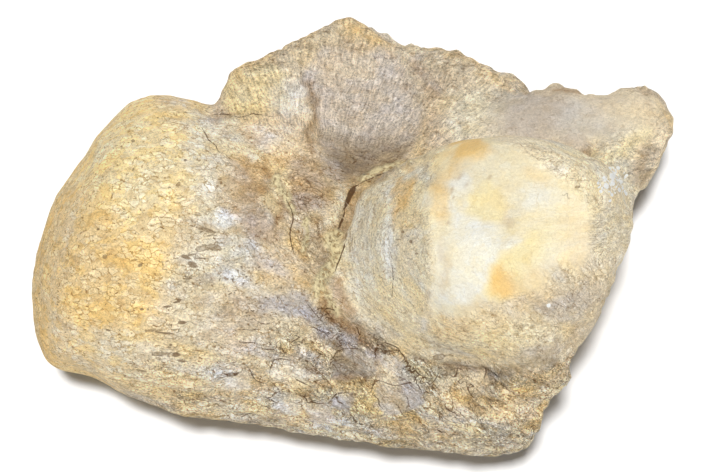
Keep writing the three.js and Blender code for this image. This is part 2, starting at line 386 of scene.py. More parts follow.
# Ridges, grooves and steps: points, width, height, side.
STROKES = [
    ([(-9.5, 27), (-8.4, 24.2), (-6.8, 22.3), (-5.9, 18.7), (-6.2, 14.8), (-5.2, 11.5),
        (-3.5, 9.5)], 1.1, 0.6, 0),
    ([(-8, 25), (-5.4, 21.9), (-4.6, 18.5), (-4.9, 14.8), (-3.8, 11.9)], 1.2, -0.3, 0),
    ([(-20.5, 18.6), (-15, 18.9), (-11.5, 21.2), (-8.6, 24.4)], 1, -0.5, 1),
    ([(7.2, 29), (8.3, 25.5), (10, 21.5), (11.4, 17.5)], 0.8, 0.6, 0),
    ([(8.9, 28.2), (11, 24.5), (13.2, 21)], 0.9, -0.5, 0),
    ([(11.3, 12.9), (7.5, 10.8), (4.6, 9.8), (1.6, 8.5), (0, 7.6)], 0.7, -1, 0),
    ([(0.6, 8.6), (-0.1, 7.2), (-1.2, 4.6), (-2.1, 1.4), (-2.7, -1), (-3.3, -4)], 0.65, -2.6, 0),
    ([(-3.2, -3.8), (-4.6, -6.6), (-5.4, -9.2)], 0.8, -0.9, 0),
    ([(-4, -6.5), (-4.8, -9.6), (-3.3, -11.8), (-1.2, -13.2), (1.8, -15.3), (4.6, -16.8),
        (8, -18)], 0.8, -1.5, 0),
    ([(7, -17.9), (11.4, -19.2), (16.6, -20.1), (23, -20.2)], 2, -1.6, -1),
    ([(11.2, -13), (11.4, -6.4), (10.9, -0.5), (10.9, 5.4)], 0.8, 0.25, 0),
    ([(36, 12.2), (38.5, 13.2), (41, 14.8), (43.8, 16.2), (47, 17.6)], 1.2, 0.9, 0),
    ([(43, 23), (45.5, 21.9), (47.5, 20), (49.2, 18)], 1.6, -1.2, 1),
    ([(1.8, -16.2), (3.6, -18.3), (3.8, -20.4), (2.6, -21.9), (-1.4, -21.6), (-4.5, -22.7),
        (-8.3, -25.7)], 0.7, -0.8, 0),
    ([(5.1, -17.5), (6.7, -20), (8.9, -23.6)], 0.4, -0.4, 0),
    ([(8.6, -17.4), (10.8, -20), (12.9, -22)], 0.4, -0.3, 0),
    ([(-4.5, -10.5), (-3.7, -12.2), (-2.8, -14)], 0.4, -0.5, 0),
    ([(19.3, -19), (19.9, -20.6), (19.7, -22)], 0.4, -0.7, 0),
    ([(-21.6, -24.8), (-20.6, -26.2), (-19, -27.9)], 0.4, -0.5, 0),
    ([(-24, 19.8), (-21.5, 18.8), (-18.5, 18.6)], 0.5, -0.8, 0),
    ([(-21.5, 20.5), (-21, 17), (-22, 14.5), (-20.8, 12)], 0.4, -0.5, 0),
    ([(-13.8, 10.8), (-12.2, 7.5), (-11.2, 3.2), (-11.8, -1)], 0.6, -0.6, 0),
    ([(-42.5, 11.5), (-45.8, 3.5), (-47, -4), (-46.8, -12), (-44, -18)], 1.6, -0.35, 0),
]

# Sandy matrix stuck in the groove behind the process: centre and radius of each crumb.
CRUMBS = [
    ((-2.7, -0.4), 0.7), ((-3, -1.6), 0.9), ((-3.3, -2.8), 0.9), ((-3.5, -4.2), 1), ((-4.2, -5.4), 0.9),
    ((-4.6, -6.8), 1), ((-5.4, -8), 0.9), ((-4.6, -9), 0.8), ((-5.6, -9.6), 0.6), ((-1.9, 1.2), 0.5),
    ((1.6, 8.9), 0.6), ((2.7, 9.4), 0.6), ((4.4, 10.2), 0.5), ((6.2, 10.9), 0.5), ((8.3, 11.6), 0.4),
]

# Clear white crystals grown on the slope beside the process: centre and radius of each.
CRYSTALS = [
    ((38.4, 8.9), 0.55), ((39.3, 9.4), 0.4), ((37.3, 7.4), 0.5), ((39.6, 6.9), 0.4), ((41.1, 6.4), 0.35),
    ((40, 10.3), 0.35), ((38.2, 6.1), 0.3), ((28.6, -10.2), 0.35), ((38.6, 10.2), 0.3), ((41.4, 9.2), 0.25),
    ((38.4, 7.8), 0.4), ((40.4, 8.2), 0.35), ((37, 8.6), 0.3), ((36.4, 6.6), 0.3), ((39.6, 8.4), 0.3),
    ((40.6, 7.2), 0.25), ((37.8, 5.2), 0.25), ((36, 7.8), 0.25),
]


def stroke(skin, up, points, width, height, side):
    """Relief of a ridge along a line, or a groove where height is negative. With side 1 or -1 it lies
    on the line's left or right and ends sharply on the other."""
    index, distance, along = near_line(skin.points[:, :2], curve(points), 3 * width)
    wide = np.where(distance * side < 0, width * 0.25, width)
    relief = np.zeros(skin.count)
    relief[index] = height * np.exp(-((distance / wide) ** 2)) * tapered(along, 0.12) * up[index]
    return relief


def form(skin):
    """The bone's larger relief, worked on the side that faces up."""
    up = facing_up(skin)
    plan = skin.points[:, :2]
    relief = np.zeros(skin.count)
    for centre, radii, turn, height in SWELLINGS:
        relief += height * up * oval(plan, centre, radii, turn, 0.9)
    for points, width, height, side in STROKES:
        relief += stroke(skin, up, points, width, height, side)
    for centre, radius in CRUMBS:
        relief += 1.3 * up * oval(plan, centre, (radius, radius), 0, 0.5)
    for centre, radius in CRYSTALS:
        relief += 0.5 * radius * up * oval(plan, centre, (radius, radius), 0, 0.6)
    relief += 0.12 * up * plates_mask(skin.points)
    for centre, radii, turn, height in FULLNESS:
        relief += height * oval(plan, centre, radii, turn, 0.9)
    skin.press(relief)


def plane_process_end(skin):
    """The process's end is worn nearly flat."""
    z = skin.points[:, 2]
    skin.points[:, 2] = np.where(z > PROCESS_FACE, PROCESS_FACE + (z - PROCESS_FACE) * FACE_RELIEF, z)


def melt_slope(skin):
    """The process runs down to the front edge and the strut in one smooth slope."""
    behind = behind_front(skin.points)
    _, y, z = skin.points.T
    along = smoothstep(-27, -22, y) * smoothstep(17, 12, y) * smoothstep(MIDPLANE + 4, MIDPLANE + 9, z)
    along *= smoothstep(0.98, 1.06, dish_radius(skin.points))
    skin.smooth(130, 0.5 * smoothstep(0.6, 2, behind) * smoothstep(13, 7, behind) * along)


def body_flow(points):
    """Height across the body's fibres, which run back to front and fall away below the process."""
    x, y = points[:, :2].T
    return y + 0.08 * (x + 22) + 4 * np.log1p(np.exp((x + 10) / 5)) * smoothstep(6, -4, y)


def along_body(points, stretch):
    """The points with their length along the body's fibres shortened, so that noise is drawn out there."""
    return np.column_stack([points[:, 0] / stretch, body_flow(points), points[:, 2]])


def spongy_mask(skin, places):
    """Where the smooth outer bone is gone and the spongy bone shows."""
    plan = skin.points[:, :2]
    patchy = smoothstep(0.1, 0.5, noise(skin.points, 16, STAIN_SEED + 2, 2))
    spongy = [
        0.5 * places.up * oval(plan, (19, -26.5), (19, 8), 6, 0.25),
        0.7 * places.up * oval(plan, (20, -15.5), (11, 3.5), 5, 0.3),
        0.7 * patchy * (1 - places.up) * (1 - places.cotyle),
        0.9 * places.break_top,
        places.stub,
    ]
    return np.max(spongy, axis=0)


def lumps(skin, places):
    """Lumps of several sizes, coarser on broken and spongy bone and nearly none on the worn end."""
    p = skin.points
    gain = places.level(
        1, condyle=0.8, arch=0.7, process=0.7, slope=0.6, trough=0.25, process_end=0.15, cotyle=0.35
    )
    rough_end = np.maximum(spongy_mask(skin, places), smoothstep(3, 0.5, behind_front(p)))
    relief = 0.12 * noise(p, 2.8, SCULPT_SEED + 5, 2)
    relief += (0.04 + 0.2 * rough_end) * noise(p, 1.4, SCULPT_SEED + 9)
    relief += (0.05 + 0.12 * places.low) * noise(along_body(p, 3), 1.8, SCULPT_SEED + 11, 2)
    return 0.3 * noise(p, 9, SCULPT_SEED, 2) + gain * relief


def flaked_layers(p, places):
    """Steps where layers have come off the broken lower side."""
    flakes = noise(along_body(p, 2.2), 3.2, SCULPT_SEED + 15, 2)
    steps = smoothstep(-0.35, -0.2, flakes) + smoothstep(0.1, 0.25, flakes)
    return 0.3 * places.low * (1 - places.plates) * steps


def growth_rings(p, places):
    """Faint rings round the process and in the cotyle."""
    x, y, z = p.T
    around = np.hypot((x - PROCESS_AXIS[0]) / 1.25, y - PROCESS_AXIS[1]) / 1.1
    on_process = noise(np.column_stack([around, z / 14, y / 14]), 1, SCULPT_SEED + 17)
    in_dish = noise(np.column_stack([places.dish_radius * 12, y / 12, z / 12]), 1, SCULPT_SEED + 19, 2)
    return 0.07 * places.process * (1 - places.process_end) * on_process + 0.2 * places.cotyle * in_dish


def chipped_edges(p, places):
    """Chips out of the arch's broken top and the bone's upper, lower and front edges."""
    y = p[:, 1]
    edge = np.maximum(smoothstep(-22, -27, y), smoothstep(18, 24, y)) * (1 - places.trough)
    relief = 0.5 * places.break_top * noise(p, 2.4, SCULPT_SEED + 13, 2)
    relief += 0.28 * edge * noise(p, 2.2, SCULPT_SEED + 21, 2)
    return relief + 0.5 * smoothstep(4, 1, behind_front(p)) * noise(p, 2.6, SCULPT_SEED + 23, 2)


def roughen(skin):
    """The bone's small relief on all its sides, and the cotyle's hollow and rim."""
    places = Places(skin)
    p = skin.points
    relief = lumps(skin, places) + flaked_layers(p, places)
    relief += growth_rings(p, places) + chipped_edges(p, places)
    relief += RIM_HEIGHT * places.front_rim - DISH_DEPTH * places.cotyle * (1 - places.dish_radius**2)
    skin.press(relief)
    p[:, 2] = np.maximum(p[:, 2], 0)


def sculpt(skin):
    """Turns the fine copy of the CAD form into the bone's own surface."""
    skin.smooth(30)
    plane_process_end(skin)
    skin.smooth(6)
    melt_slope(skin)
    form(skin)
    skin.smooth(2)
    roughen(skin)
    skin.refresh()


# ---- stains, and painted shade and light

PALETTE = {
    "gold": (0.87, 0.66, 0.34),
    "deep gold": (0.80, 0.56, 0.26),
    "straw": (0.93, 0.79, 0.49),
    "sand": (0.76, 0.63, 0.43),
    "tan": (0.62, 0.50, 0.34),
    "cream": (0.84, 0.74, 0.54),
    "white": (0.88, 0.84, 0.74),
    "pink white": (0.87, 0.75, 0.60),
    "pink grey": (0.75, 0.63, 0.49),
    "lavender": (0.73, 0.64, 0.54),
    "pale lavender": (0.78, 0.71, 0.61),
    "blue grey": (0.47, 0.43, 0.41),
    "bone grey": (0.86, 0.78, 0.58),
    "taupe": (0.64, 0.48, 0.31),
    "dark taupe": (0.34, 0.26, 0.17),
    "ochre": (0.82, 0.60, 0.31),
    "brown": (0.42, 0.27, 0.14),
    "mauve": (0.50, 0.385, 0.295),
    "matrix": (0.88, 0.76, 0.47),
    "slate": (0.62, 0.57, 0.53),
    "trough grey": (0.55, 0.48, 0.40),
    "grey cream": (0.57, 0.53, 0.47),
    "worn cream": (0.80, 0.71, 0.49),
    "worn white": (0.79, 0.76, 0.65),
    "worn grey": (0.72, 0.72, 0.66),
    "worn yellow": (0.82, 0.69, 0.37),
    "worn orange": (0.80, 0.54, 0.21),
}

# Zones on the side that faces up: colour, strength, outline.
ZONES = [
    ("tan", 0.8, [(-11.5, 7.8), (-8.2, 10.8), (-4.4, 10.3), (-1.4, 7.8), (-1.9, 3.2), (-3.7, -1.3),
        (-4.4, -6.6), (-7.5, -8.1), (-10.5, -5.8), (-12.4, -2), (-11.2, 3.2)]),
    ("taupe", 0.95, [(-20, 10.8), (-17.3, 11.5), (-14, 10.3), (-12, 7.8), (-11.5, 4.8), (-12.4, 0.2),
        (-14, -0.8), (-16.5, 0.7), (-18.5, 3.2), (-20.6, 4.8), (-21.5, 7), (-20.9, 9.3)]),
    ("pink white", 0.95, [(-18.7, 17.8), (-14.1, 19), (-8.3, 22.1), (-7.1, 19.3), (-6.5, 14.7), (-7.4, 12),
        (-9.8, 10.2), (-12.1, 9.2), (-15.2, 11.7), (-17.8, 12.9), (-19.3, 14.7)]),
    ("straw", 0.9, [(-20.1, 24.4), (-16.8, 26.2), (-12.2, 26.8), (-9.9, 25.3), (-10.7, 22.8),
        (-14.2, 20.1), (-18.2, 19.2), (-20.1, 21)]),
    ("pink grey", 0.8, [(-22, -7.8), (-17, -9.2), (-12.8, -11.6), (-11.6, -15), (-14, -17.6), (-19, -18.4),
        (-24, -17), (-24.6, -12)]),
    ("white", 0.4, [(-20.6, -3), (-17.8, -2.4), (-15.4, -4.2), (-13.2, -6.6), (-11.6, -8.8), (-13.4, -9.6),
        (-16.4, -8.8), (-18.8, -6.8)]),
    ("cream", 0.5, [(-17.6, -11.6), (-12.6, -11.8), (-8, -13.4), (-5.4, -16), (-7, -17.4), (-12, -16.6),
        (-17, -15.6)]),
    ("blue grey", 0.85, [(-14.6, -9.6), (-9.8, -9), (-4.5, -11.1), (-0.4, -13.4), (2.8, -15.7),
        (2.7, -20.5), (-2.2, -21.2), (-4.5, -18.7), (-5.5, -14.9), (-9.8, -12.3), (-14, -11.2)]),
    ("pale lavender", 0.7, [(-8.4, -17), (-4.4, -17), (-3, -19), (-3.4, -21.2), (-7, -20.8), (-9, -19)]),
    ("ochre", 1, [(-5.8, -22.4), (-1.5, -21.8), (2.4, -22), (2.8, -25), (0.4, -26.2), (-4.6, -25.6)]),
    ("ochre", 0.7, [(-14.6, -22), (-10, -22.6), (-6.4, -24), (-6.6, -27), (-11, -27.6), (-15, -25.8)]),
]

# Blotches on the side that faces up, the later over the earlier, some of them painted shade and light:
# colour, centre, radii, turn in degrees, strength.
BLOTCHES = [
    # the body's broken lower front and its low edge
    ("cream", (0, -28), (26, 5), 0, 0.8),
    ("cream", (19.5, -27), (16, 8), 5, 0.7),
    # painted shadow on the band below the process's overhang
    ("blue grey", (20, -20), (10, 1.8), 2, 1),
    # the waist
    ("cream", (-22.5, 10), (4, 9), 8, 0.8),
    ("cream", (-23.5, -9.5), (4.6, 12), 0, 0.6),
    ("white", (-22.6, 10.5), (2, 5.5), 4, 0.6),
    ("white", (-20.4, 2.6), (3.6, 1.3), 0, 0.9),
    ("tan", (-21.6, 1), (2.2, 0.8), -8, 0.7),
    ("pink grey", (-10.6, -4.5), (5, 2.6), -20, 0.8),
    # the arch
    ("white", (-18.8, 14.6), (2, 2.2), 10, 0.9),
    ("white", (-19.4, 17.6), (1.6, 1.2), 0, 0.8),
    ("white", (-15.7, 13.4), (1.8, 0.9), 0, 0.7),
    ("straw", (-11.6, 20.3), (2.2, 1.3), 10, 0.8),
    ("taupe", (-8.6, 11.2), (3, 1.2), -10, 0.8),
    ("taupe", (11.8, 20.5), (3.6, 6.5), 18, 0.6),
    ("bone grey", (19.5, 19), (5.5, 4.4), 0, 0.85),
    ("tan", (17, 24), (5, 2), -20, 0.6),
    # the condyle and the notch above it
    ("straw", (-31, 4.4), (4.2, 6), 10, 0.8),
    ("straw", (-32, 12), (7, 8), 30, 0.8),
    ("straw", (-37.5, 9), (4, 4), 0, 0.5),
    ("deep gold", (-38.5, -6.5), (6, 8), 0, 0.4),
    ("sand", (-39.5, -18), (7, 4), -30, 0.6),
    ("cream", (-31, -19), (8, 4), -15, 0.6),
    ("lavender", (-24.6, 21.2), (4.6, 1.5), -6, 0.9),
    ("lavender", (-20.9, 17.4), (1.4, 3.4), 10, 0.85),
    # the trough and the front strut
    ("trough grey", (27.4, 18.2), (6.2, 5), 0, 0.95),
    ("grey cream", (36.5, 17), (6, 3.2), 10, 0.85),
    ("tan", (31, 22.6), (4.4, 1.4), -12, 0.8),
    ("sand", (41.5, 20), (5, 3), 12, 0.7),
    ("bone grey", (38, 4), (4.6, 13), -20, 0.9),
    # painted shade in the soft pit at the trough's foot
    ("trough grey", (34, 13.5), (2.4, 0.9), -20, 0.6),
    # smaller patches over all of those
    ("dark taupe", (-3.2, -16.6), (1.2, 0.9), -30, 0.9),
    ("mauve", (-8.1, 7.8), (4.4, 4), -30, 0.85),
    ("worn grey", (-17.5, -2.2), (3, 1.6), -20, 0.7),
    ("white", (9.9, -20.2), (2.8, 2.2), -20, 0.8),
    ("dark taupe", (-2.2, -17.2), (2.4, 1.8), 0, 0.5),
    ("tan", (2.2, 28.3), (4, 2), 0, 0.5),
    ("blue grey", (-11.3, -8.1), (2.6, 1.6), -20, 0.5),
    # part stained, part painted shade in the corner at the foot of the arch's side
    ("dark taupe", (2.4, 10.4), (4.4, 1.8), 0, 0.6),
    ("tan", (-15.6, -11.4), (4.4, 3), -20, 0.5),
    ("tan", (-14.3, -29), (4, 1.6), 5, 0.5),
    ("tan", (28, -20), (3.4, 2.4), 0, 0.9),
    ("ochre", (-17.3, -23.4), (3.4, 1.8), 0, 0.5),
    ("white", (-20.4, -20.4), (3, 1.6), -10, 0.5),
    ("white", (-23.4, 14.8), (2.2, 3.6), 0, 0.7),
    ("taupe", (-0.8, 9.9), (3.4, 1.6), 0, 0.6),
    ("taupe", (-5, 13), (2, 2.4), 0, 0.5),
    ("taupe", (0.8, 28.3), (3, 1.6), 0, 0.4),
    ("cream", (-12.4, 5.9), (0.9, 3.4), -10, 0.9),
    ("mauve", (-13.6, 0.8), (3.2, 2), 0, 0.6),
    ("straw", (-7.6, 3.8), (2.4, 1), 0, 0.3),
    ("brown", (-4.1, -2.2), (1, 2.4), 10, 0.4),
    ("straw", (-5, -7.1), (1.3, 2.2), -10, 0.7),
    ("white", (-21.4, -4.4), (4.6, 2.4), -14, 0.85),
    ("white", (-10, 21.4), (3.6, 2.8), 30, 0.6),
    ("deep gold", (-29.5, 1), (3, 2.6), 0, 0.4),
    # painted light on the body's rounded lower edge, which faces away from the lamps
    ("straw", (0.5, -27), (6, 4.4), 0, 0.8),
    ("white", (0.8, -29.5), (5, 2.2), 0, 1),
    ("tan", (16, -26.3), (3.4, 2), 0, 0.7),
    ("ochre", (25, -26.3), (4, 3), 0, 0.6),
    ("ochre", (-6.8, -27.6), (5, 1.6), 0, 0.6),
    ("ochre", (18, -24), (5, 2.4), -20, 0.6),
    ("ochre", (9, -29.4), (7, 1.6), -4, 0.5),
]

# The same on the process: its flank, its slope and its worn end.
PROCESS_BLOTCHES = [
    ("bone grey", (5, -2), (8, 16), 0, 0.85),
    ("bone grey", (36, -2), (8, 18), -20, 0.95),
    ("sand", (39, 2), (4.6, 12), -20, 0.4),
    ("tan", (32, -10.8), (8, 6.4), 30, 0.75),
    ("tan", (19.4, -11.2), (3.4, 1.2), 0, 0.5),
    ("tan", (31, -16.5), (3.6, 3), 0, 0.5),
    ("worn white", (10, 7), (1.5, 3), -10, 0.6),
    ("trough grey", (26.5, -15.5), (4, 3), 0, 0.5),
    ("trough grey", (4, -14), (3, 1.6), -30, 0.8),
    ("worn white", (32.6, 11.6), (5, 2.8), -20, 0.8),
    ("straw", (12.4, 11.8), (2.2, 3.2), 20, 0.6),
    ("cream", (30, 11.6), (7, 2.6), -20, 0.8),
    ("white", (0.6, -2), (1.2, 7), -6, 0.5),
    ("white", (5, 1), (1, 8), -6, 0.5),
    ("ochre", (7.2, 6), (1.2, 3.8), -14, 0.9),
    ("sand", (7.6, -1.6), (1.8, 4.6), 0, 0.5),
    ("cream", (5.5, -11.5), (4, 3.4), -30, 0.7),
    ("straw", (20.5, -14.2), (9, 2.4), 0, 0.85),
    ("ochre", (14.4, -13.6), (3.2, 1.8), 0, 0.6),
    ("ochre", (21, -13.4), (2.6, 1.4), 0, 0.5),
    ("blue grey", (31.5, -9.8), (4.4, 1.8), 32, 0.4),
    ("worn white", (28.4, 6), (3.6, 2.6), -20, 0.5),
    ("worn white", (23.7, 4), (1.2, 1), 0, 0.6),
    ("worn white", (22.5, -1.7), (1.3, 0.6), 10, 0.6),
    ("tan", (22.2, 1.9), (0.9, 1.5), -12, 0.6),
    ("brown", (16.1, 9.3), (0.35, 0.3), 0, 0.5),
    ("brown", (14.8, 6.6), (0.3, 0.45), 20, 0.5),
    ("brown", (15.4, 5.6), (0.3, 0.3), 0, 0.5),
    ("brown", (17.2, 7.6), (0.25, 0.3), 0, 0.4),
    ("brown", (20.3, 7.9), (0.3, 0.25), 0, 0.5),
    ("brown", (13.4, 1.5), (0.3, 0.3), 30, 0.5),
    ("tan", (13.2, -4.8), (0.5, 3.4), 4, 0.4),
    ("ochre", (32.2, 0), (2.6, 5), 0, 0.3),
    ("ochre", (25.5, -8), (3.4, 2.4), 0, 0.35),
]

# Zones of the process's worn end: colour, strength, outline.
WORN_ZONES = [
    ("worn yellow", 0.8, [(16.6, 5.3), (17.8, 6.2), (20.2, 7.1), (21.9, 6.2), (22.5, 3.9), (21.9, 1.8),
        (19.3, 1.8), (17.2, 3.3)]),
    ("worn yellow", 0.95, [(19.3, -5.2), (19.6, -3.4), (22.8, -2.6), (26, 0.7), (29, 1.6), (33.6, 2),
        (34.4, -1.7), (32.5, -4), (30.1, -5.8), (27.8, -7.6), (24.3, -9.4), (20.6, -9.8)]),
    ("worn white", 1, [(14.6, 3), (19.9, 1.8), (21.3, -0.5), (20.2, -2.9), (19.3, -5.2), (18.4, -9.3),
        (12.5, -10.5), (12.2, -6.4), (12, -1.7), (13.7, 0.7)]),
    ("worn white", 0.8, [(13.8, 8.6), (16.6, 9.6), (17.6, 7.6), (16.2, 5), (15.4, 2.6), (13.6, 3.4)]),
    ("worn orange", 1, [(20, -5), (21.4, -4.6), (23.2, -6.2), (24.8, -8), (23.6, -9.6), (21.2, -9.2),
        (20.2, -7)]),
    ("worn yellow", 0.8, [(29, 3), (31, 5.4), (33, 4.4), (34.2, 0), (33, -3.6), (30.4, -2.6)]),
    ("worn orange", 1, [(14.2, 12), (15.2, 15.2), (18.8, 15), (19.8, 12.9), (18.4, 10.6), (16.3, 10.4)]),
    ("worn orange", 0.85, [(14.4, 11.8), (12, 8.8), (10.8, 5.9), (10.8, 3), (12.2, 1), (13.8, 3.6),
        (13.8, 7.4), (15.8, 10)]),
    ("worn orange", 0.3, [(24.8, 9.8), (26.6, 10.2), (28, 8.8), (26.2, 8)]),
]

# Stained lines on the side that faces up, some of them painted shade: colour, points, width, strength.
STAIN_AND_SHADE_LINES = [
    ("ochre", [(-19.6, 24.5), (-14.3, 27.3), (-8.4, 30.7), (-1.5, 33.6), (4.7, 30), (7.5, 29)], 1.2, 0.8),
    ("ochre", [(13, 28.5), (16.8, 28), (20.6, 25.3), (25, 22.3)], 0.8, 0.6),
    ("brown", [(-7.8, 24.2), (-6.6, 21.2), (-5.8, 18), (-6, 14.9), (-5, 11.8)], 0.5, 0.7),
    ("brown", [(-19.6, 11.4), (-16, 11.8), (-12.6, 9.6), (-11.4, 6.2), (-12.2, 2)], 0.5, 0.6),
    ("pink white", [(-20.8, 8.8), (-17.6, 9), (-14.6, 8)], 0.3, 0.7),
    ("pink white", [(-20.2, 6.6), (-17.4, 6.9), (-14.8, 6.2)], 0.25, 0.6),
    ("pink white", [(-18, 4.6), (-15, 4.8), (-12.8, 3.8)], 0.3, 0.6),
    ("cream", [(-12.6, 11.6), (-11, 9.4), (-10.2, 6.4)], 0.6, 0.8),
    ("blue grey", [(8.8, 28.4), (11, 24.8), (13.2, 21.5)], 0.8, 0.4),
    ("pale lavender", [(-0.9, 7.6), (-2, 5.6), (-4, 2.2), (-5.4, -0.2)], 1.1, 1),
    ("dark taupe", [(11, 12.9), (7.5, 10.8), (4.6, 9.8), (1.6, 8.5), (0, 7.4)], 0.45, 0.5),
    ("ochre", [(0.1, 7.2), (-0.7, 5.4), (-1.6, 3.4)], 0.7, 0.8),
    ("brown", [(-1.9, 1.6), (-3.2, -0.8), (-4.2, -3.6), (-5.4, -6.2)], 0.45, 0.8),
    ("matrix", [(-2.4, 0.6), (-2.9, -1.6), (-3.4, -4), (-4.4, -6.4), (-5.6, -8.4)], 0.8, 1),
    ("white", [(-0.9, 7.2), (-2.2, 5), (-4, 2.2), (-5.2, -0.2)], 0.5, 0.7),
    ("ochre", [(-5.6, -8.4), (-4.8, -9.8), (-3.8, -11.2)], 0.9, 0.8),
    ("brown", [(-4.4, -10.6), (-3.3, -11.8), (-1.2, -13.4), (1.8, -15.3), (4.6, -16.8)], 0.6, 0.75),
    # painted shadow under the process's overhang
    ("dark taupe", [(13, -19.6), (22, -20.2), (31, -18.2)], 0.9, 0.6),
    ("worn grey", [(7.6, -19.2), (10.4, -20.2), (13.4, -20.4)], 1.5, 0.85),
    ("taupe", [(-2.6, -6), (-2.2, -9.4), (0, -12)], 1.2, 1),
    ("brown", [(-2.4, -6.6), (-2, -8.4), (-1.4, -10)], 1, 0.5),
    ("dark taupe", [(-2.8, -15.2), (-2.4, -17), (-2.2, -18.8)], 1.3, 0.7),
    # painted shade on the flank under the strut's ridge, which faces away from the key light
    ("tan", [(44.6, 14.2), (43.7, 11), (42.4, 7.4)], 1.7, 1),
    ("dark taupe", [(44.4, 13.2), (43.6, 10.8), (42.8, 8.4)], 1.4, 0.3),
    ("pink white", [(6, 28), (7.4, 25), (9, 22)], 1, 0.5),
    # part stained, part painted shade in the corner at the foot of the arch's side
    ("dark taupe", [(5.2, 11), (2.4, 9.8), (-1.6, 10)], 1.4, 0.7),
    ("dark taupe", [(-2.4, -12.6), (1, -14), (4.4, -15)], 1.5, 0.6),
    ("brown", [(-4.6, -9.4), (-3.4, -11.6), (-1.4, -13.2), (0.6, -14), (2.2, -15.4),
        (4.8, -17)], 0.6, 0.9),
    ("brown", [(30.8, 22.9), (33, 22.2), (35.5, 21.5)], 0.5, 0.8),
    ("tan", [(43.6, 23), (46, 21.3), (48.4, 18.6)], 1.1, 0.85),
    ("matrix", [(24.5, 14.6), (28.6, 13.7), (32.5, 12.1), (36, 11.2)], 0.8, 0.4),
    ("matrix", [(36, 11.2), (38.5, 12.2), (41.5, 14.2), (46.5, 17)], 1.1, 0.7),
    ("pink grey", [(-40.4, 8), (-43.8, -0.5), (-45.4, -8), (-44.9, -15.7), (-41.6, -21)], 2, 0.35),
    ("deep gold", [(-43, 8), (-47.1, -0.5), (-48.6, -8), (-48.3, -15.9), (-45.3, -20.8)], 1.2, 0.6),
    ("pale lavender", [(11, -7), (10.7, -11), (9.7, -15)], 0.7, 0.6),
]

# Tints that colour patches everywhere: what they multiply the colour by, the patches' size, and how
# much of the tint the condyle takes.
TINTS = [
    ((1.06, 1.01, 0.88), 4.6, 1),
    ((0.96, 0.99, 1.07), 3.8, 0),
    ((1.06, 1.07, 1.08), 2.8, 0.6),
    ((0.94, 0.90, 0.82), 2.4, 0.6),
]


def mix(colour, name, amount):
    """Mixes a colour of the palette into the points' colours, for stains and for painted shade and light."""
    return colour + (np.array(PALETTE[name]) - colour) * amount[:, None]


def paint_zones(colour, zones, plan, soft, amount):
    """Stains zones, as far as an amount for each point lets it."""
    for name, strength, outline in zones:
        colour = mix(colour, name, strength * amount * inside(plan, outline, soft))
    return colour


def paint_blotches(colour, blotches, plan, amount):
    """The same for blotches, some of which are painted shade and light."""
    for name, centre, radii, turn, strength in blotches:
        colour = mix(colour, name, strength * amount * oval(plan, centre, radii, turn, 0.5))
    return colour


def ground_colour(skin, places):
    """Stains of the whole bone, whose hidden sides have the same patchy colours as the visible one,
    with painted shade deep in the cotyle's hollow.
    """
    colour = np.tile(PALETTE["sand"], (skin.count, 1))
    for i, name in enumerate(["cream", "ochre", "lavender", "tan", "pink white"]):
        patch = noise(skin.points, 13, STAIN_SEED + 40 + i, 3)
        colour = mix(colour, name, 0.75 * smoothstep(0.15, 0.45, patch))
    colour = mix(colour, "gold", 0.95 * places.condyle)
    colour = mix(colour, "tan", 0.8 * places.cotyle)
    # painted shade, darker towards the middle of the cotyle's hollow
    colour = mix(colour, "taupe", 0.6 * places.cotyle * smoothstep(0.9, 0.2, places.dish_radius))
    colour = mix(colour, "cream", 0.9 * places.front_rim)
    colour = mix(colour, "sand", 0.8 * places.up * (1 - places.condyle))
    return mix(colour, "cream", 0.5 * places.process)


def stain_and_shade_arch_face(skin, places, colour):
    """The arch's side is lavender, pinkish in places, its foot dark: part stained, part painted shade."""
    patch = smoothstep(0, 0.5, noise(skin.points, 4, STAIN_SEED + 50, 2))
    foot = smoothstep(17.5, 11.5, skin.points[:, 1] + 0.5 * patch)
    colour = mix(colour, "lavender", 0.95 * places.arch_face)
    colour = mix(colour, "pink grey", 0.6 * places.arch_face * patch)
    # dark taupe at the foot: part stained, part painted shade of the corner by the process
    return mix(colour, "dark taupe", 0.95 * places.arch_face * foot)


def paint_body(skin, places, plan, colour):
    """The body and the arch: zones, blotches, some painted shade and light, and plates of outer bone."""
    above = places.up * (1 - places.process)
    colour = paint_zones(colour, ZONES, plan, 0.6, above)
    colour = paint_blotches(colour, BLOTCHES, plan, above)
    colour = stain_and_shade_arch_face(skin, places, colour)
    return paint_zones(colour, PLATES, plate_plan(skin.points), 0.3, above)


def stain_process(skin, places, plan, colour):
    """The process: its pale worn end with its zones, and blotches all over it."""
    colour = mix(colour, "worn cream", 0.95 * places.process_end)
    for i, name in enumerate(["worn white", "worn yellow"]):
        wash = smoothstep(0.1, 0.7, noise(skin.points, 4, STAIN_SEED + 100 + 3 * i, 2))
        colour = mix(colour, name, 0.4 * places.process_end * wash)
    colour = paint_zones(colour, WORN_ZONES, plan, 1, places.process_end)
    return paint_blotches(colour, PROCESS_BLOTCHES, plan, places.process)


def paint_lines(places, plan, colour):
    """Stained lines, and lines of painted shade, over everything else."""
    for name, points, width, strength in STAIN_AND_SHADE_LINES:
        index, distance, along = near_line(plan, curve(points), 2.5 * width)
        fade = np.exp(-((distance / width) ** 2)) * tapered(along, 0.1)
        amount = np.zeros(len(plan))
        amount[index] = strength * fade * places.up[index]
        colour = mix(colour, name, amount)
    return colour


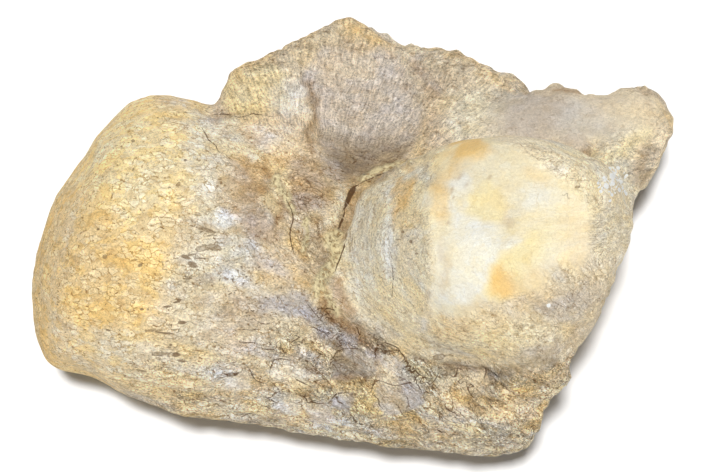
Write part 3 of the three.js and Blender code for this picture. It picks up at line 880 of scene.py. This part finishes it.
def mottle_and_shade(skin, places, colour):
    """Soft patches drawn out along the fibres, and dark hollows and pale high spots, partly dirt and wear
    and partly painted shade and highlight.
    """
    gain = places.level(
        1, condyle=0.8, arch=0.8, low=1.3, process=0.8, slope=0.5, trough=0.5, process_end=0.6, cotyle=0.5
    )
    gain += 0.5 * places.up * oval(skin.points[:, :2], (-11, 4), (12, 12))
    stretched = along_body(skin.points, 1.8)
    for i, (tint, size, on_condyle) in enumerate(TINTS):
        patch = smoothstep(0.05, 0.45, noise(stretched, size, STAIN_SEED + 80 + 3 * i, 2))
        patch *= places.level(1, condyle=on_condyle)
        colour = colour * (1 + (gain * patch)[:, None] * (np.array(tint) - 1))
    below, hollow = 1 - places.up, skin.hollowness(50)
    # painted shade in the wide hollows and painted highlight on the wide bumps, partly dirt and wear
    colour = mix(colour, "brown", 0.5 * below * smoothstep(0.15, 1.6, hollow))
    colour = mix(colour, "cream", 0.5 * below * smoothstep(0.15, 1.4, -hollow))
    gain, hollow = np.clip(gain, 0, 1), skin.hollowness(3)
    # dark in the small hollows and pale on the small bumps: part dirt and wear, part painted shade and
    # highlight
    colour = mix(colour, "brown", 0.5 * gain * smoothstep(0.05, 0.25, hollow))
    return mix(colour, "cream", 0.35 * gain * smoothstep(0.05, 0.22, -hollow))


def stains_and_painted_light(skin, places):
    """The colour of each point."""
    plan = warped(skin.points, 1)
    colour = ground_colour(skin, places)
    colour = paint_body(skin, places, plan, colour)
    colour = stain_process(skin, places, plan, colour)
    colour = paint_lines(places, plan, colour)
    return np.clip(mottle_and_shade(skin, places, colour), 0, 1)


# ---- fields that the shader reads

# Cracks and seams on the side that faces up: points and half width.
CRACKS = [
    ([(-22, 18.6), (-19.6, 18.9), (-17.8, 18.2), (-15.6, 18.8), (-12.6, 18.3)], 0.05),
    ([(-23.4, 16.6), (-22.2, 14.6), (-20.9, 13.6), (-20.2, 12.2)], 0.05),
    ([(0.3, 7.7), (-0.1, 6.9), (-0.8, 5.6), (-1.5, 4.2)], 0.42),
    ([(-1.4, 3.6), (-1.9, 2.2), (-2.2, 1)], 0.16),
    ([(-1.2, 0.4), (-1.6, -1.4), (-2.2, -3.4), (-2.9, -5.2)], 0.1),
    ([(-10.2, 5.4), (-9.1, 3.2), (-9.6, 0.2), (-9.1, -2.4)], 0.08),
    ([(8.4, 11.5), (6.4, 10.5), (4.4, 9.5), (2.4, 8.8), (0.6, 7.8)], 0.07),
    ([(2.9, -15.1), (6.5, -16.9), (9, -20), (11.6, -22.5), (12.8, -23.8)], 0.08),
    ([(7, -17.6), (8.9, -20.8), (10.3, -23.6)], 0.07),
    ([(-7.2, -10.2), (-6, -11.6), (-4.6, -13.2)], 0.06),
    ([(19.7, -19.8), (19.9, -20.6), (19.6, -21.6)], 0.07),
    ([(5.4, -3.8), (5.8, -6.6), (5.4, -9.4)], 0.04),
]
SCATTERED_CRACKS = 70
NO_CRACK = (3, 3, 0.1)  # the field's value away from all cracks

# Sandy matrix left in the grooves: points and half width.
MATRIX = [
    ([(-2.1, 1), (-2.6, -0.8), (-3, -2.8), (-3.4, -4.6)], 0.8),
    ([(-3.4, -4.4), (-4.6, -6), (-5.6, -7.4), (-4.9, -9.2)], 0.85),
    ([(-4.4, -8.5), (-3.6, -10), (-2.2, -11.8)], 0.45),
    ([(8.8, 11.8), (6.4, 10.8), (4.4, 10.1), (2.4, 9.3), (0.8, 8.6)], 0.4),
    ([(-12.2, 9.8), (-11.4, 7.4), (-9.6, 4.8), (-8.8, 3.4)], 0.6),
    ([(-7.6, 3.4), (-6.8, 0.2), (-7.4, -2.8)], 0.35),
]

# Openings of small vessels: centre, radii, turn in degrees, and how dark their painted shade inside is.
OPENINGS = [
    ((-20.9, -1.7), (0.95, 0.42), -12, 0.5),
    ((-22.9, -1.9), (0.75, 0.36), 8, 0.2),
    ((-25.3, -3.1), (0.5, 0.24), -10, 0.9),
    ((-24.1, -4.3), (0.7, 0.36), -28, 0.8),
    ((-21.4, 0.6), (0.6, 0.16), -10, 0.5),
    ((-22.8, 1.1), (0.5, 0.14), 6, 0.5),
    ((-24.8, -6.4), (0.5, 0.12), 8, 0.8),
    ((-26.2, -9.6), (0.3, 0.2), 4, 1),
    ((-28, -10.6), (0.6, 0.14), 6, 0.9),
    ((-25.8, -13), (0.55, 0.24), 0, 1),
    ((-28.4, -14.6), (1.2, 0.12), -6, 0.8),
    ((-30.6, -14.2), (0.7, 0.14), 8, 0.5),
    ((-26.8, -17.9), (0.55, 0.3), 0, 1),
    ((-29.4, -17.8), (1, 0.26), 3, 0.3),
    ((-25.9, -18.9), (0.5, 0.12), 0, 0.9),
    ((-27.6, -16.4), (0.2, 0.14), 0, 1),
    ((-31.8, -11), (0.26, 0.16), 0, 0.9),
    ((-32, -4.4), (0.3, 0.2), 30, 0.8),
    ((-37.3, -3.1), (0.3, 0.26), 0, 0.3),
    ((-38.4, 1), (0.2, 0.14), 0, 0.9),
    ((-26.3, 7.8), (0.3, 0.22), 60, 0.6),
    ((-25.4, 11.4), (0.2, 0.16), 0, 0.8),
    ((-33.4, 14.4), (0.24, 0.18), 0, 0.6),
    ((-32.2, -20.4), (0.7, 0.14), -10, 0.7),
    ((-37, -14.2), (0.3, 0.14), -10, 0.9),
    ((7.2, 0.6), (0.22, 0.16), 20, 0.7),
    ((8.4, -0.8), (0.18, 0.22), 0, 0.7),
    ((9.2, -2.6), (0.2, 0.14), 0, 0.7),
    ((12.8, -18.2), (0.8, 0.4), 10, 0.3),
    ((32.8, 7.2), (0.34, 0.16), 10, 0.4),
]
NO_OPENING = (6, 6, 0)  # the field's value away from all openings


def scattered_cracks():
    """Short fine cracks over the broken lower side, running with the body's fibres."""
    rng = np.random.default_rng(STAIN_SEED)
    made = []
    for _ in range(SCATTERED_CRACKS):
        point = rng.uniform((-20, -29), (20, -11))
        turn = rng.normal(0, 0.25)
        points = [point]
        for _ in range(4):
            flow = body_flow(np.array([point, point + (0.1, 0), point + (0, 0.1)]))
            heading = math.atan2(flow[0] - flow[1], flow[2] - flow[0]) + turn + rng.normal(0, 0.3)
            point = point + rng.uniform(0.4, 0.9) * np.array([math.cos(heading), math.sin(heading)])
            points.append(point)
        made.append((points, rng.uniform(0.03, 0.08)))
    return made


def plate_edges():
    """Cracks along one side of each plate of outer bone."""
    return [(outline[: len(outline) // 2], 0.06) for _, _, outline in PLATES]


def nearest_crack(skin, places):
    """For each point, its signed and plain distance from the nearest crack, and the crack's half width
    there; a crack narrows towards its ends and closes where the surface is steep."""
    plan = warped(skin.points, 0.2)
    found = np.tile(np.array(NO_CRACK, float), (skin.count, 1))
    on_body = plate_edges() + scattered_cracks()
    for lines, where in ((CRACKS, places.up), (on_body, places.up * (1 - places.process))):
        for points, half_width in lines:
            index, distance, along = near_line(plan, curve(points), 2)
            wide = half_width * (0.3 + 0.7 * tapered(along, 0.25))
            wide -= 0.16 * smoothstep(0.6, 0.4, skin.normals[index, 2])
            closer = (np.abs(distance) < found[index, 1]) & (where[index] > 0.5)
            found[index[closer]] = np.column_stack([distance, np.abs(distance), wide])[closer]
    return found


def nearest_opening(skin):
    """For each point, its place relative to the nearest vessel's opening or crystal, in that oval's radii,
    and how dark the opening is inside, or -1 in a crystal."""
    found = np.tile(np.array(NO_OPENING, float), (skin.count, 1))
    crystals = [(centre, (radius, radius), 0, -1) for centre, radius in CRYSTALS]
    for centre, radii, turn, dark in OPENINGS + crystals:
        here = place_in_oval(skin.points[:, :2], centre, radii, turn)
        closer = np.hypot(*here.T) < np.hypot(*found[:, :2].T)
        found[closer] = np.column_stack([here, np.full(skin.count, dark)])[closer]
    found[facing_up(skin) < 0.5] = NO_OPENING
    return found


def matrix_mask(skin):
    """Where sandy matrix is stuck to the bone."""
    plan = warped(skin.points, 0.5)
    mask = np.zeros(skin.count)
    for points, half_width in MATRIX:
        index, distance, along = near_line(plan, curve(points), 3 * half_width)
        amount = smoothstep(1.3, 0.7, np.abs(distance) / half_width) * tapered(along, 0.1)
        mask[index] = np.maximum(mask[index], amount)
    return mask * facing_up(skin)


def broken_mask(places, plan):
    """How much loose slabs and chips of bone show."""
    broken = places.level(
        0.3, condyle=0.1, arch=0.2, arch_face=0, low=1, plates=0.4, process=0.15, slope=0.5, smooth=0
    )
    waist = 0.8 * places.up * oval(plan, (-8, 4), (5, 9), 10)
    trough_foot = 0.5 * places.up * oval(plan, (31, 11.4), (7, 2.6), -20)
    return np.max([broken, waist, trough_foot], axis=0)


def textures(skin, places):
    """How strongly each kind of fine texture shows at each point."""
    up, smooth = places.up, places.smooth
    plan = warped(skin.points, 0.8)
    patches = smoothstep(0, 0.6, noise(skin.points, 3, STAIN_SEED + 60, 2))
    wide_patches = smoothstep(0, 0.3, noise(skin.points, 5, STAIN_SEED + 64, 2))
    beside_condyle = up * oval(plan, (-25.5, -9), (5, 13), 8)
    dusty = up * oval(plan, (-16, -8), (8, 6), -25, 0.5)
    waist = up * oval(plan, (-11, -8), (15, 15))
    calm = up * oval(plan, (-18.5, -19.4), (7, 4.6), -5)
    pores = np.maximum(0.3 * beside_condyle, 0.08 + 0.08 * places.condyle)
    lines = np.maximum(0.4 * waist, places.low * (1 - 0.5 * places.plates)) * wide_patches
    return {
        "on_arch": places.arch * up,
        "on_process": places.process,
        "worn": smooth,
        "matrix": matrix_mask(skin),
        "sponge": spongy_mask(skin, places) * (1 - smooth) * (1 - 0.8 * places.plates),
        "pores": pores * patches * (1 - smooth) - 0.05,
        "dots": np.maximum(0.35 * patches, dusty) * (1 - 0.8 * smooth),
        "lines": lines * (1 - 0.8 * calm),
        "broken": broken_mask(places, plan) * (1 - 0.7 * calm),
        "fibre": places.level(
            0.3, condyle=0.1, arch=1, process=0.3, slope=0.1, process_end=0.05, trough=0.3
        ),
        "grit": places.level(
            0.9, condyle=0.7, arch=1, low=1.4, plates=1, process=0.8, slope=0.8, process_end=0.25,
            trough=0.45, cotyle=0.45,
        ),
        "patchy": places.level(
            0.9, condyle=0.9, arch=0.5, low=1.3, plates=0.8, process=0.6, slope=0.6, process_end=0.15,
            trough=0.3, cotyle=0.5,
        ),
        "warm": places.level(
            0.3, condyle=1, arch=0.15, arch_face=0, low=0.5, plates=0, process=0.3, trough=0
        ),
    }


def flows(points):
    """Coordinates for the strands of the body, arch and process. The first changes fast, across the
    strands, and the others slowly."""
    x, y, z = (points + 0.4 * wander(points, 1.8)).T
    across = {
        "body_strands": (body_flow(np.column_stack([x, y])), 0.5 * z),
        "arch_strands": (np.arctan2(y, x + 5) * 22, 0.25 * (y + z)),
        "process_strands": (np.hypot((x - PROCESS_AXIS[0]) / 1.15, y - PROCESS_AXIS[1]), 0.25 * (y + z)),
    }
    return {name: np.column_stack([fast, 0.25 * x, slow]) for name, (fast, slow) in across.items()}


def store_fields(skin):
    """Puts on the mesh all that the shader reads from it."""
    places = Places(skin)
    skin.store("stain_and_painted_light", np.column_stack([stains_and_painted_light(skin, places), np.ones(skin.count)]), "FLOAT_COLOR", "color")
    vectors = flows(skin.points)
    vectors["crack"] = nearest_crack(skin, places)
    vectors["opening"] = nearest_opening(skin)
    for name, values in vectors.items():
        skin.store(name, values, "FLOAT_VECTOR", "vector")
    for name, values in textures(skin, places).items():
        skin.store(name, values)


# ---- the bone's material


class Graph:
    """A material's nodes. Each input is a number, a tuple or another node's output."""

    def __init__(self, name):
        self.material = bpy.data.materials.new(name)
        self.material.use_nodes = True
        self.tree = self.material.node_tree
        self.shader = self.tree.nodes["Principled BSDF"]

    def feed(self, socket, value):
        """Links a socket to an output, or sets its value."""
        if isinstance(value, bpy.types.NodeSocket):
            self.tree.links.new(value, socket)
        else:
            socket.default_value = value

    def add(self, kind, inputs, output=0, **settings):
        """Adds a node and returns one of its outputs."""
        node = self.tree.nodes.new("ShaderNode" + kind)
        for name, value in settings.items():
            setattr(node, name, value)
        for socket, value in inputs.items():
            self.feed(node.inputs[socket], value)
        return node.outputs[output]

    def field(self, name, output="Fac"):
        """A field stored on the mesh."""
        return self.add("Attribute", {}, output, attribute_name=name)

    def maths(self, operation, a, b=0.0, c=0.0):
        return self.add("Math", {0: a, 1: b, 2: c}, operation=operation)

    def times(self, a, b):
        return self.maths("MULTIPLY", a, b)

    def times_plus(self, a, b, c):
        return self.maths("MULTIPLY_ADD", a, b, c)

    def minus(self, a, b):
        return self.maths("SUBTRACT", a, b)

    def most(self, *values):
        return functools.reduce(lambda a, b: self.maths("MAXIMUM", a, b), values)

    def off(self, value, middle):
        """How far a value is from a middle one, either way."""
        return self.maths("ABSOLUTE", self.minus(value, middle))

    def ramp(self, value, low, high):
        """0 where the value is low, 1 where it is high, and smooth between."""
        inputs = {"Value": value, "From Min": low, "From Max": high}
        return self.add("MapRange", inputs, interpolation_type="SMOOTHSTEP")

    def scaled(self, vector, scale):
        return self.add("VectorMath", {0: vector, 1: scale}, operation="MULTIPLY")

    def moved(self, vector, offset):
        return self.add("VectorMath", {0: vector, 1: offset}, operation="ADD")

    def noise(self, vector, scale, detail, rough, output=0):
        inputs = {"Vector": vector, "Scale": scale, "Detail": detail, "Roughness": rough}
        return self.add("TexNoise", inputs, output)

    def cells(self, vector, scale, feature="F1", output="Distance"):
        return self.add("TexVoronoi", {"Vector": vector, "Scale": scale}, output, feature=feature)

    def blend(self, factor, a, b, mode="MIX"):
        """Blends two colours."""
        return self.add("Mix", {0: factor, 6: a, 7: b}, 2, data_type="RGBA", blend_type=mode)

    def blend_values(self, factor, a, b):
        return self.add("Mix", {0: factor, 2: a, 3: b}, data_type="FLOAT")

    def tinted(self, colour, factor, tint):
        """Multiplies a colour by a tint, as far as the factor says."""
        return self.blend(factor, colour, self.blend(1.0, colour, (*tint, 1), "MULTIPLY"))

    def shaded(self, colour, value, strength):
        """Lightens and darkens a colour by a value about 0.5."""
        gain = self.times_plus(self.minus(value, 0.5), strength, 1.0)
        return self.add("VectorMath", {0: colour, "Scale": gain}, operation="SCALE")


def strand_pattern(graph):
    """Fine strands that run with each region's flow, from 0 to 1."""
    body, arch, process = (
        graph.noise(graph.field(name, "Vector"), 3.0, 3.0, 0.7)
        for name in ("body_strands", "arch_strands", "process_strands")
    )
    mixed = graph.blend_values(graph.field("on_arch"), body, arch)
    return graph.blend_values(graph.field("on_process"), mixed, process)


def speckles(graph, vector, scale, radius, chosen):
    """Small round spots in some of the cells of a Voronoi pattern."""
    pick = graph.ramp(graph.cells(vector, scale, output="Color"), chosen, chosen + 0.02)
    return graph.times(graph.ramp(graph.cells(vector, scale), radius, radius * 0.6), pick)


def flake_pattern(graph, vector, scale, line):
    """Some cells of a pattern, as pale flakes, and the thin dark outlines round parts of them; line is
    the outlines' width."""
    pick = graph.cells(vector, scale, output="Color")
    to_edge = graph.cells(vector, scale, "DISTANCE_TO_EDGE")
    flakes = graph.times(graph.ramp(pick, 0.55, 0.57), graph.ramp(to_edge, 0.02, 0.06))
    outlines = graph.ramp(to_edge, line * scale, 0.4 * line * scale)
    return flakes, graph.times(outlines, graph.ramp(pick, 0.46, 0.60))


def crack_pattern(graph, ragged):
    """Where the stored cracks are. Their signed distance keeps a narrow crack whole between two points
    of the mesh, and their plain distance hides where the signed one jumps to another crack."""
    crack = graph.add("SeparateXYZ", {0: graph.field("crack", "Vector")})
    signed, plain, half_width = (crack.node.outputs[i] for i in range(3))
    depth = graph.times_plus(ragged, 0.2, graph.minus(graph.maths("ABSOLUTE", signed), half_width))
    return graph.times(graph.ramp(depth, 0.05, -0.05), graph.ramp(plain, 0.65, 0.5))


def opening_pattern(graph, ragged):
    """How dark the vessels' openings are with painted shade, small ones all over and wide ones most at
    their edges; and where the crystals are."""
    opening = graph.field("opening", "Vector")
    dark = graph.add("SeparateXYZ", {0: opening}, 2)
    reach = graph.add("VectorMath", {0: graph.scaled(opening, (1, 1, 0))}, 1, operation="LENGTH")
    reach = graph.times_plus(ragged, 0.9, reach)
    edge = graph.times(graph.ramp(graph.off(reach, 1.0), 0.32, 0.08), 0.7)
    middle = graph.times(graph.ramp(reach, 1.1, 0.9), graph.times_plus(dark, 0.6, 0.3))
    openings = graph.times(graph.most(middle, edge), graph.ramp(dark, -0.3, -0.1))
    return openings, graph.times(graph.ramp(reach, 1.0, 0.8), graph.ramp(dark, -0.6, -0.8))


class Patterns:
    """The fields stored on the bone and the patterns that its colour and its relief share."""

    def __init__(self, graph):
        for name in ("fibre", "sponge", "grit", "patchy", "warm", "broken", "matrix"):
            setattr(self, name, graph.field(name))
        space = graph.scaled(graph.add("TexCoord", {}, "Object"), (1 / MM, 1 / MM, 1 / MM))
        jitter = graph.noise(space, 1.4, 2.0, 0.6, "Color")
        bent = graph.moved(graph.scaled(space, (0.75, 1, 1)), graph.scaled(jitter, (0.9, 0.9, 0.9)))
        along = graph.scaled(graph.field("body_strands", "Vector"), (1.0, 2.2, 1.6))
        along = graph.moved(along, graph.scaled(jitter, (0.7, 0.7, 0.7)))
        ragged = graph.minus(graph.noise(space, 3.0, 2.0, 0.6), 0.5)
        strand = strand_pattern(graph)
        self.tone = graph.noise(bent, 0.42, 3.0, 0.55)
        self.crumbs = graph.ramp(graph.noise(space, 1.7, 3.0, 0.65), 0.36, 0.50)
        self.add_grain(graph, bent, strand)
        self.add_flakes(graph, along)
        self.add_ink(graph, bent, strand)
        self.cracks = crack_pattern(graph, ragged)
        self.openings, self.crystals = opening_pattern(graph, ragged)

    def add_grain(self, graph, bent, strand):
        """Grain with strands, and the spongy bone's pits and ridges, with painted shade and highlight."""
        self.strands = graph.ramp(strand, 0.36, 0.64)
        strength = graph.times(self.fibre, 0.6)
        self.grain = graph.times_plus(graph.minus(strand, 0.5), strength, graph.noise(bent, 3.4, 3.0, 0.75))
        self.lumps = graph.noise(bent, 1.1, 4.0, 0.7)
        self.shaded_holes = graph.times(graph.ramp(self.lumps, 0.46, 0.38), self.sponge)
        self.lit_crests = graph.times(graph.ramp(self.lumps, 0.52, 0.60), self.sponge)

    def add_flakes(self, graph, along):
        """Flakes, slabs and chips, all drawn out along the fibres."""
        self.flaky = graph.noise(along, 0.9, 3.0, 0.6)
        self.specks = speckles(graph, along, 1.7, 0.3, 0.56)
        self.flakes, self.outlines = flake_pattern(graph, along, 1.15, 0.06)
        self.slabs, self.slab_edges = flake_pattern(graph, along, 0.5, 0.09)
        self.chips, self.chip_edges = flake_pattern(graph, along, 2.3, 0.05)

    def add_ink(self, graph, bent, strand):
        """Dark hairlines, dots and pores."""
        hairlines = graph.most(
            graph.ramp(graph.off(self.flaky, 0.5), 0.014, 0.004),
            graph.ramp(graph.off(strand, 0.52), 0.02, 0.004),
        )
        dots = speckles(graph, bent, 1.5, 0.24, 0.5)
        spots = graph.cells(graph.scaled(bent, (0.6, 0.9, 0.9)), 1.0)
        self.ink = graph.most(
            graph.times(hairlines, graph.field("lines")),
            graph.times(dots, graph.field("dots")),
            graph.ramp(graph.minus(spots, graph.field("pores")), 0.03, -0.03),
        )


def bone_colour(graph, p):
    """The stored colours, with painted shade and light, tinted and then covered by each pattern in turn."""
    colour = graph.field("stain_and_painted_light", "Color")
    cool = graph.minus(p.patchy, p.warm)
    for amount, pattern, tint in (
        (p.warm, graph.ramp(p.tone, 0.50, 0.55), (1.05, 1.0, 0.84)),
        (cool, graph.ramp(p.tone, 0.47, 0.42), (0.96, 0.97, 1.04)),
        (p.patchy, graph.ramp(p.flaky, 0.53, 0.57), (1.12, 1.13, 1.15)),
        (p.patchy, graph.ramp(p.flaky, 0.45, 0.39), (0.86, 0.81, 0.76)),
        (p.patchy, p.flakes, (1.09, 1.10, 1.12)),
        (p.warm, p.flakes, (1.0, 1.06, 1.18)),
        (p.patchy, p.outlines, (0.72, 0.62, 0.50)),
        (p.broken, 1.0, (1.08, 1.09, 1.10)),
        (p.broken, p.slabs, (1.14, 1.16, 1.20)),
        (p.broken, p.slab_edges, (0.60, 0.52, 0.43)),
        (p.broken, p.chips, (1.20, 1.21, 1.22)),
        (p.broken, p.chip_edges, (0.66, 0.57, 0.47)),
        (p.patchy, p.specks, (0.52, 0.42, 0.32)),
    ):
        colour = graph.tinted(colour, graph.times(amount, pattern), tint)
    colour = graph.shaded(colour, p.grain, graph.times(p.grit, 2.4))
    colour = graph.shaded(colour, p.strands, graph.times(p.fibre, 0.12))
    # painted highlight on the spongy bone's crests and painted shade in its holes
    colour = graph.tinted(colour, p.lit_crests, (1.22, 1.25, 1.30))
    colour = graph.tinted(colour, p.shaded_holes, (0.55, 0.48, 0.40))
    # the openings' dark is painted shade inside the holes
    for amount, cover in (
        (p.openings, (0.26, 0.17, 0.09, 1)),
        (p.matrix, graph.blend(p.crumbs, (0.70, 0.48, 0.23, 1), (1.0, 0.85, 0.50, 1))),
        (graph.times(p.ink, 0.75), (0.17, 0.11, 0.06, 1)),
        (graph.times(p.cracks, 0.92), (0.13, 0.06, 0.02, 1)),
        (p.crystals, (1.0, 1.0, 0.96, 1)),
    ):
        colour = graph.blend(amount, colour, cover)
    return colour


def bone_relief(graph, p):
    """Fine relief, too small for the mesh: each pattern adds its height."""
    height = graph.times(p.grain, graph.times_plus(p.grit, 2.0, 0.2))
    for pattern, amount in (
        (p.strands, graph.times(p.fibre, 0.3)),
        (p.flakes, graph.times(p.patchy, 0.5)),
        (p.slabs, graph.times(p.broken, 0.8)),
        (p.chips, graph.times(p.broken, 0.6)),
        (p.lumps, graph.times_plus(p.sponge, 3.5, 0.6)),
        (p.crumbs, graph.times(p.matrix, 2.0)),
        (graph.most(p.ink, p.cracks, p.openings), -0.8),
    ):
        height = graph.times_plus(pattern, amount, height)
    return graph.add("Bump", {"Height": height, "Strength": 1.0, "Distance": 0.18 * MM})


def bone_material():
    """Dull fossil bone, a little smoother where it is worn."""
    graph = Graph("fossil_bone")
    patterns = Patterns(graph)
    rough = graph.times_plus(graph.field("worn"), -0.12, 0.74)
    rough = graph.times_plus(patterns.grain, 0.2, rough)
    graph.feed(graph.shader.inputs["Base Color"], bone_colour(graph, patterns))
    graph.feed(graph.shader.inputs["Roughness"], rough)
    graph.feed(graph.shader.inputs["Normal"], bone_relief(graph, patterns))
    graph.shader.inputs["Specular IOR Level"].default_value = 0.3
    return graph.material


# ---- staging

# Lights: place and size in metres, power, and what they light. The key comes from the upper left, its
# like on the paper makes the shadow, and the fills are weak.
LIGHTS = {
    "key": ((-0.08, 0.55, 2.85), 0.4, 70, "bone"),
    "paper_light": ((-0.08, 0.32, 2.9), 0.18, 92, "paper"),
    "front_fill": ((0.1, -0.75, 0.45), 0.6, 3.0, "bone"),
    "right_fill": ((0.75, 0.1, 0.4), 0.6, 1.7, "bone"),
    "left_fill": ((-0.7, 0.4, 0.4), 0.6, 0.6, "bone"),
}
WORLD_LIGHT = 0.1
FLOOR_SIZE = 6  # in metres
CAMERA_HEIGHT = 0.627  # in metres
LENS, SENSOR = 196.2, 36


def floor():
    """A sheet of white paper."""
    bpy.ops.mesh.primitive_plane_add(size=FLOOR_SIZE)
    plane = bpy.context.object
    plane.name = "floor"
    paper = Graph("floor_paper")
    paper.shader.inputs["Base Color"].default_value = (0.93, 0.93, 0.93, 1)
    paper.shader.inputs["Roughness"].default_value = 0.9
    plane.data.materials.append(paper.material)
    return plane


def light(name, place, size, power, only_on):
    """A square soft light turned to the bone, which lights one object only."""
    data = bpy.data.lights.new(name, "AREA")
    data.size = size
    data.energy = power
    lamp = add_object(name, data)
    lamp.location = place
    lamp.rotation_euler = (-lamp.location).to_track_quat("-Z", "Y").to_euler()
    lit = bpy.data.collections.new(name + "_lights")
    lit.objects.link(only_on)
    lamp.light_linking.receiver_collection = lit


def camera():
    """The camera looks straight down."""
    data = bpy.data.cameras.new("camera")
    data.lens = LENS
    data.sensor_width = SENSOR
    data.clip_end = 10
    bpy.context.scene.camera = add_object("camera", data)
    bpy.context.scene.camera.location = (0, 0, CAMERA_HEIGHT)


def stage(bone):
    """The floor, the lights, the dim white surroundings and the camera."""
    lit = {"bone": bone, "paper": floor()}
    for name, (place, size, power, on) in LIGHTS.items():
        light(name, place, size, power, lit[on])
    world = bpy.data.worlds.new("studio")
    bpy.context.scene.world = world
    world.use_nodes = True
    world.node_tree.nodes["Background"].inputs["Color"].default_value = (1, 1, 1, 1)
    world.node_tree.nodes["Background"].inputs["Strength"].default_value = WORLD_LIGHT
    bpy.context.scene.view_settings.view_transform = "Standard"
    camera()


def plain(bounds):
    """Bounds as plain lists."""
    return [list(corner) for corner in bounds]


bone = fine_copy(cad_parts["vertebra"])
skin = Skin(bone.data)
sculpt(skin)
bone.data.materials.append(bone_material())
store_fields(skin)
stage(bone)

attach(bone, "root")
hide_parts("vertebra")
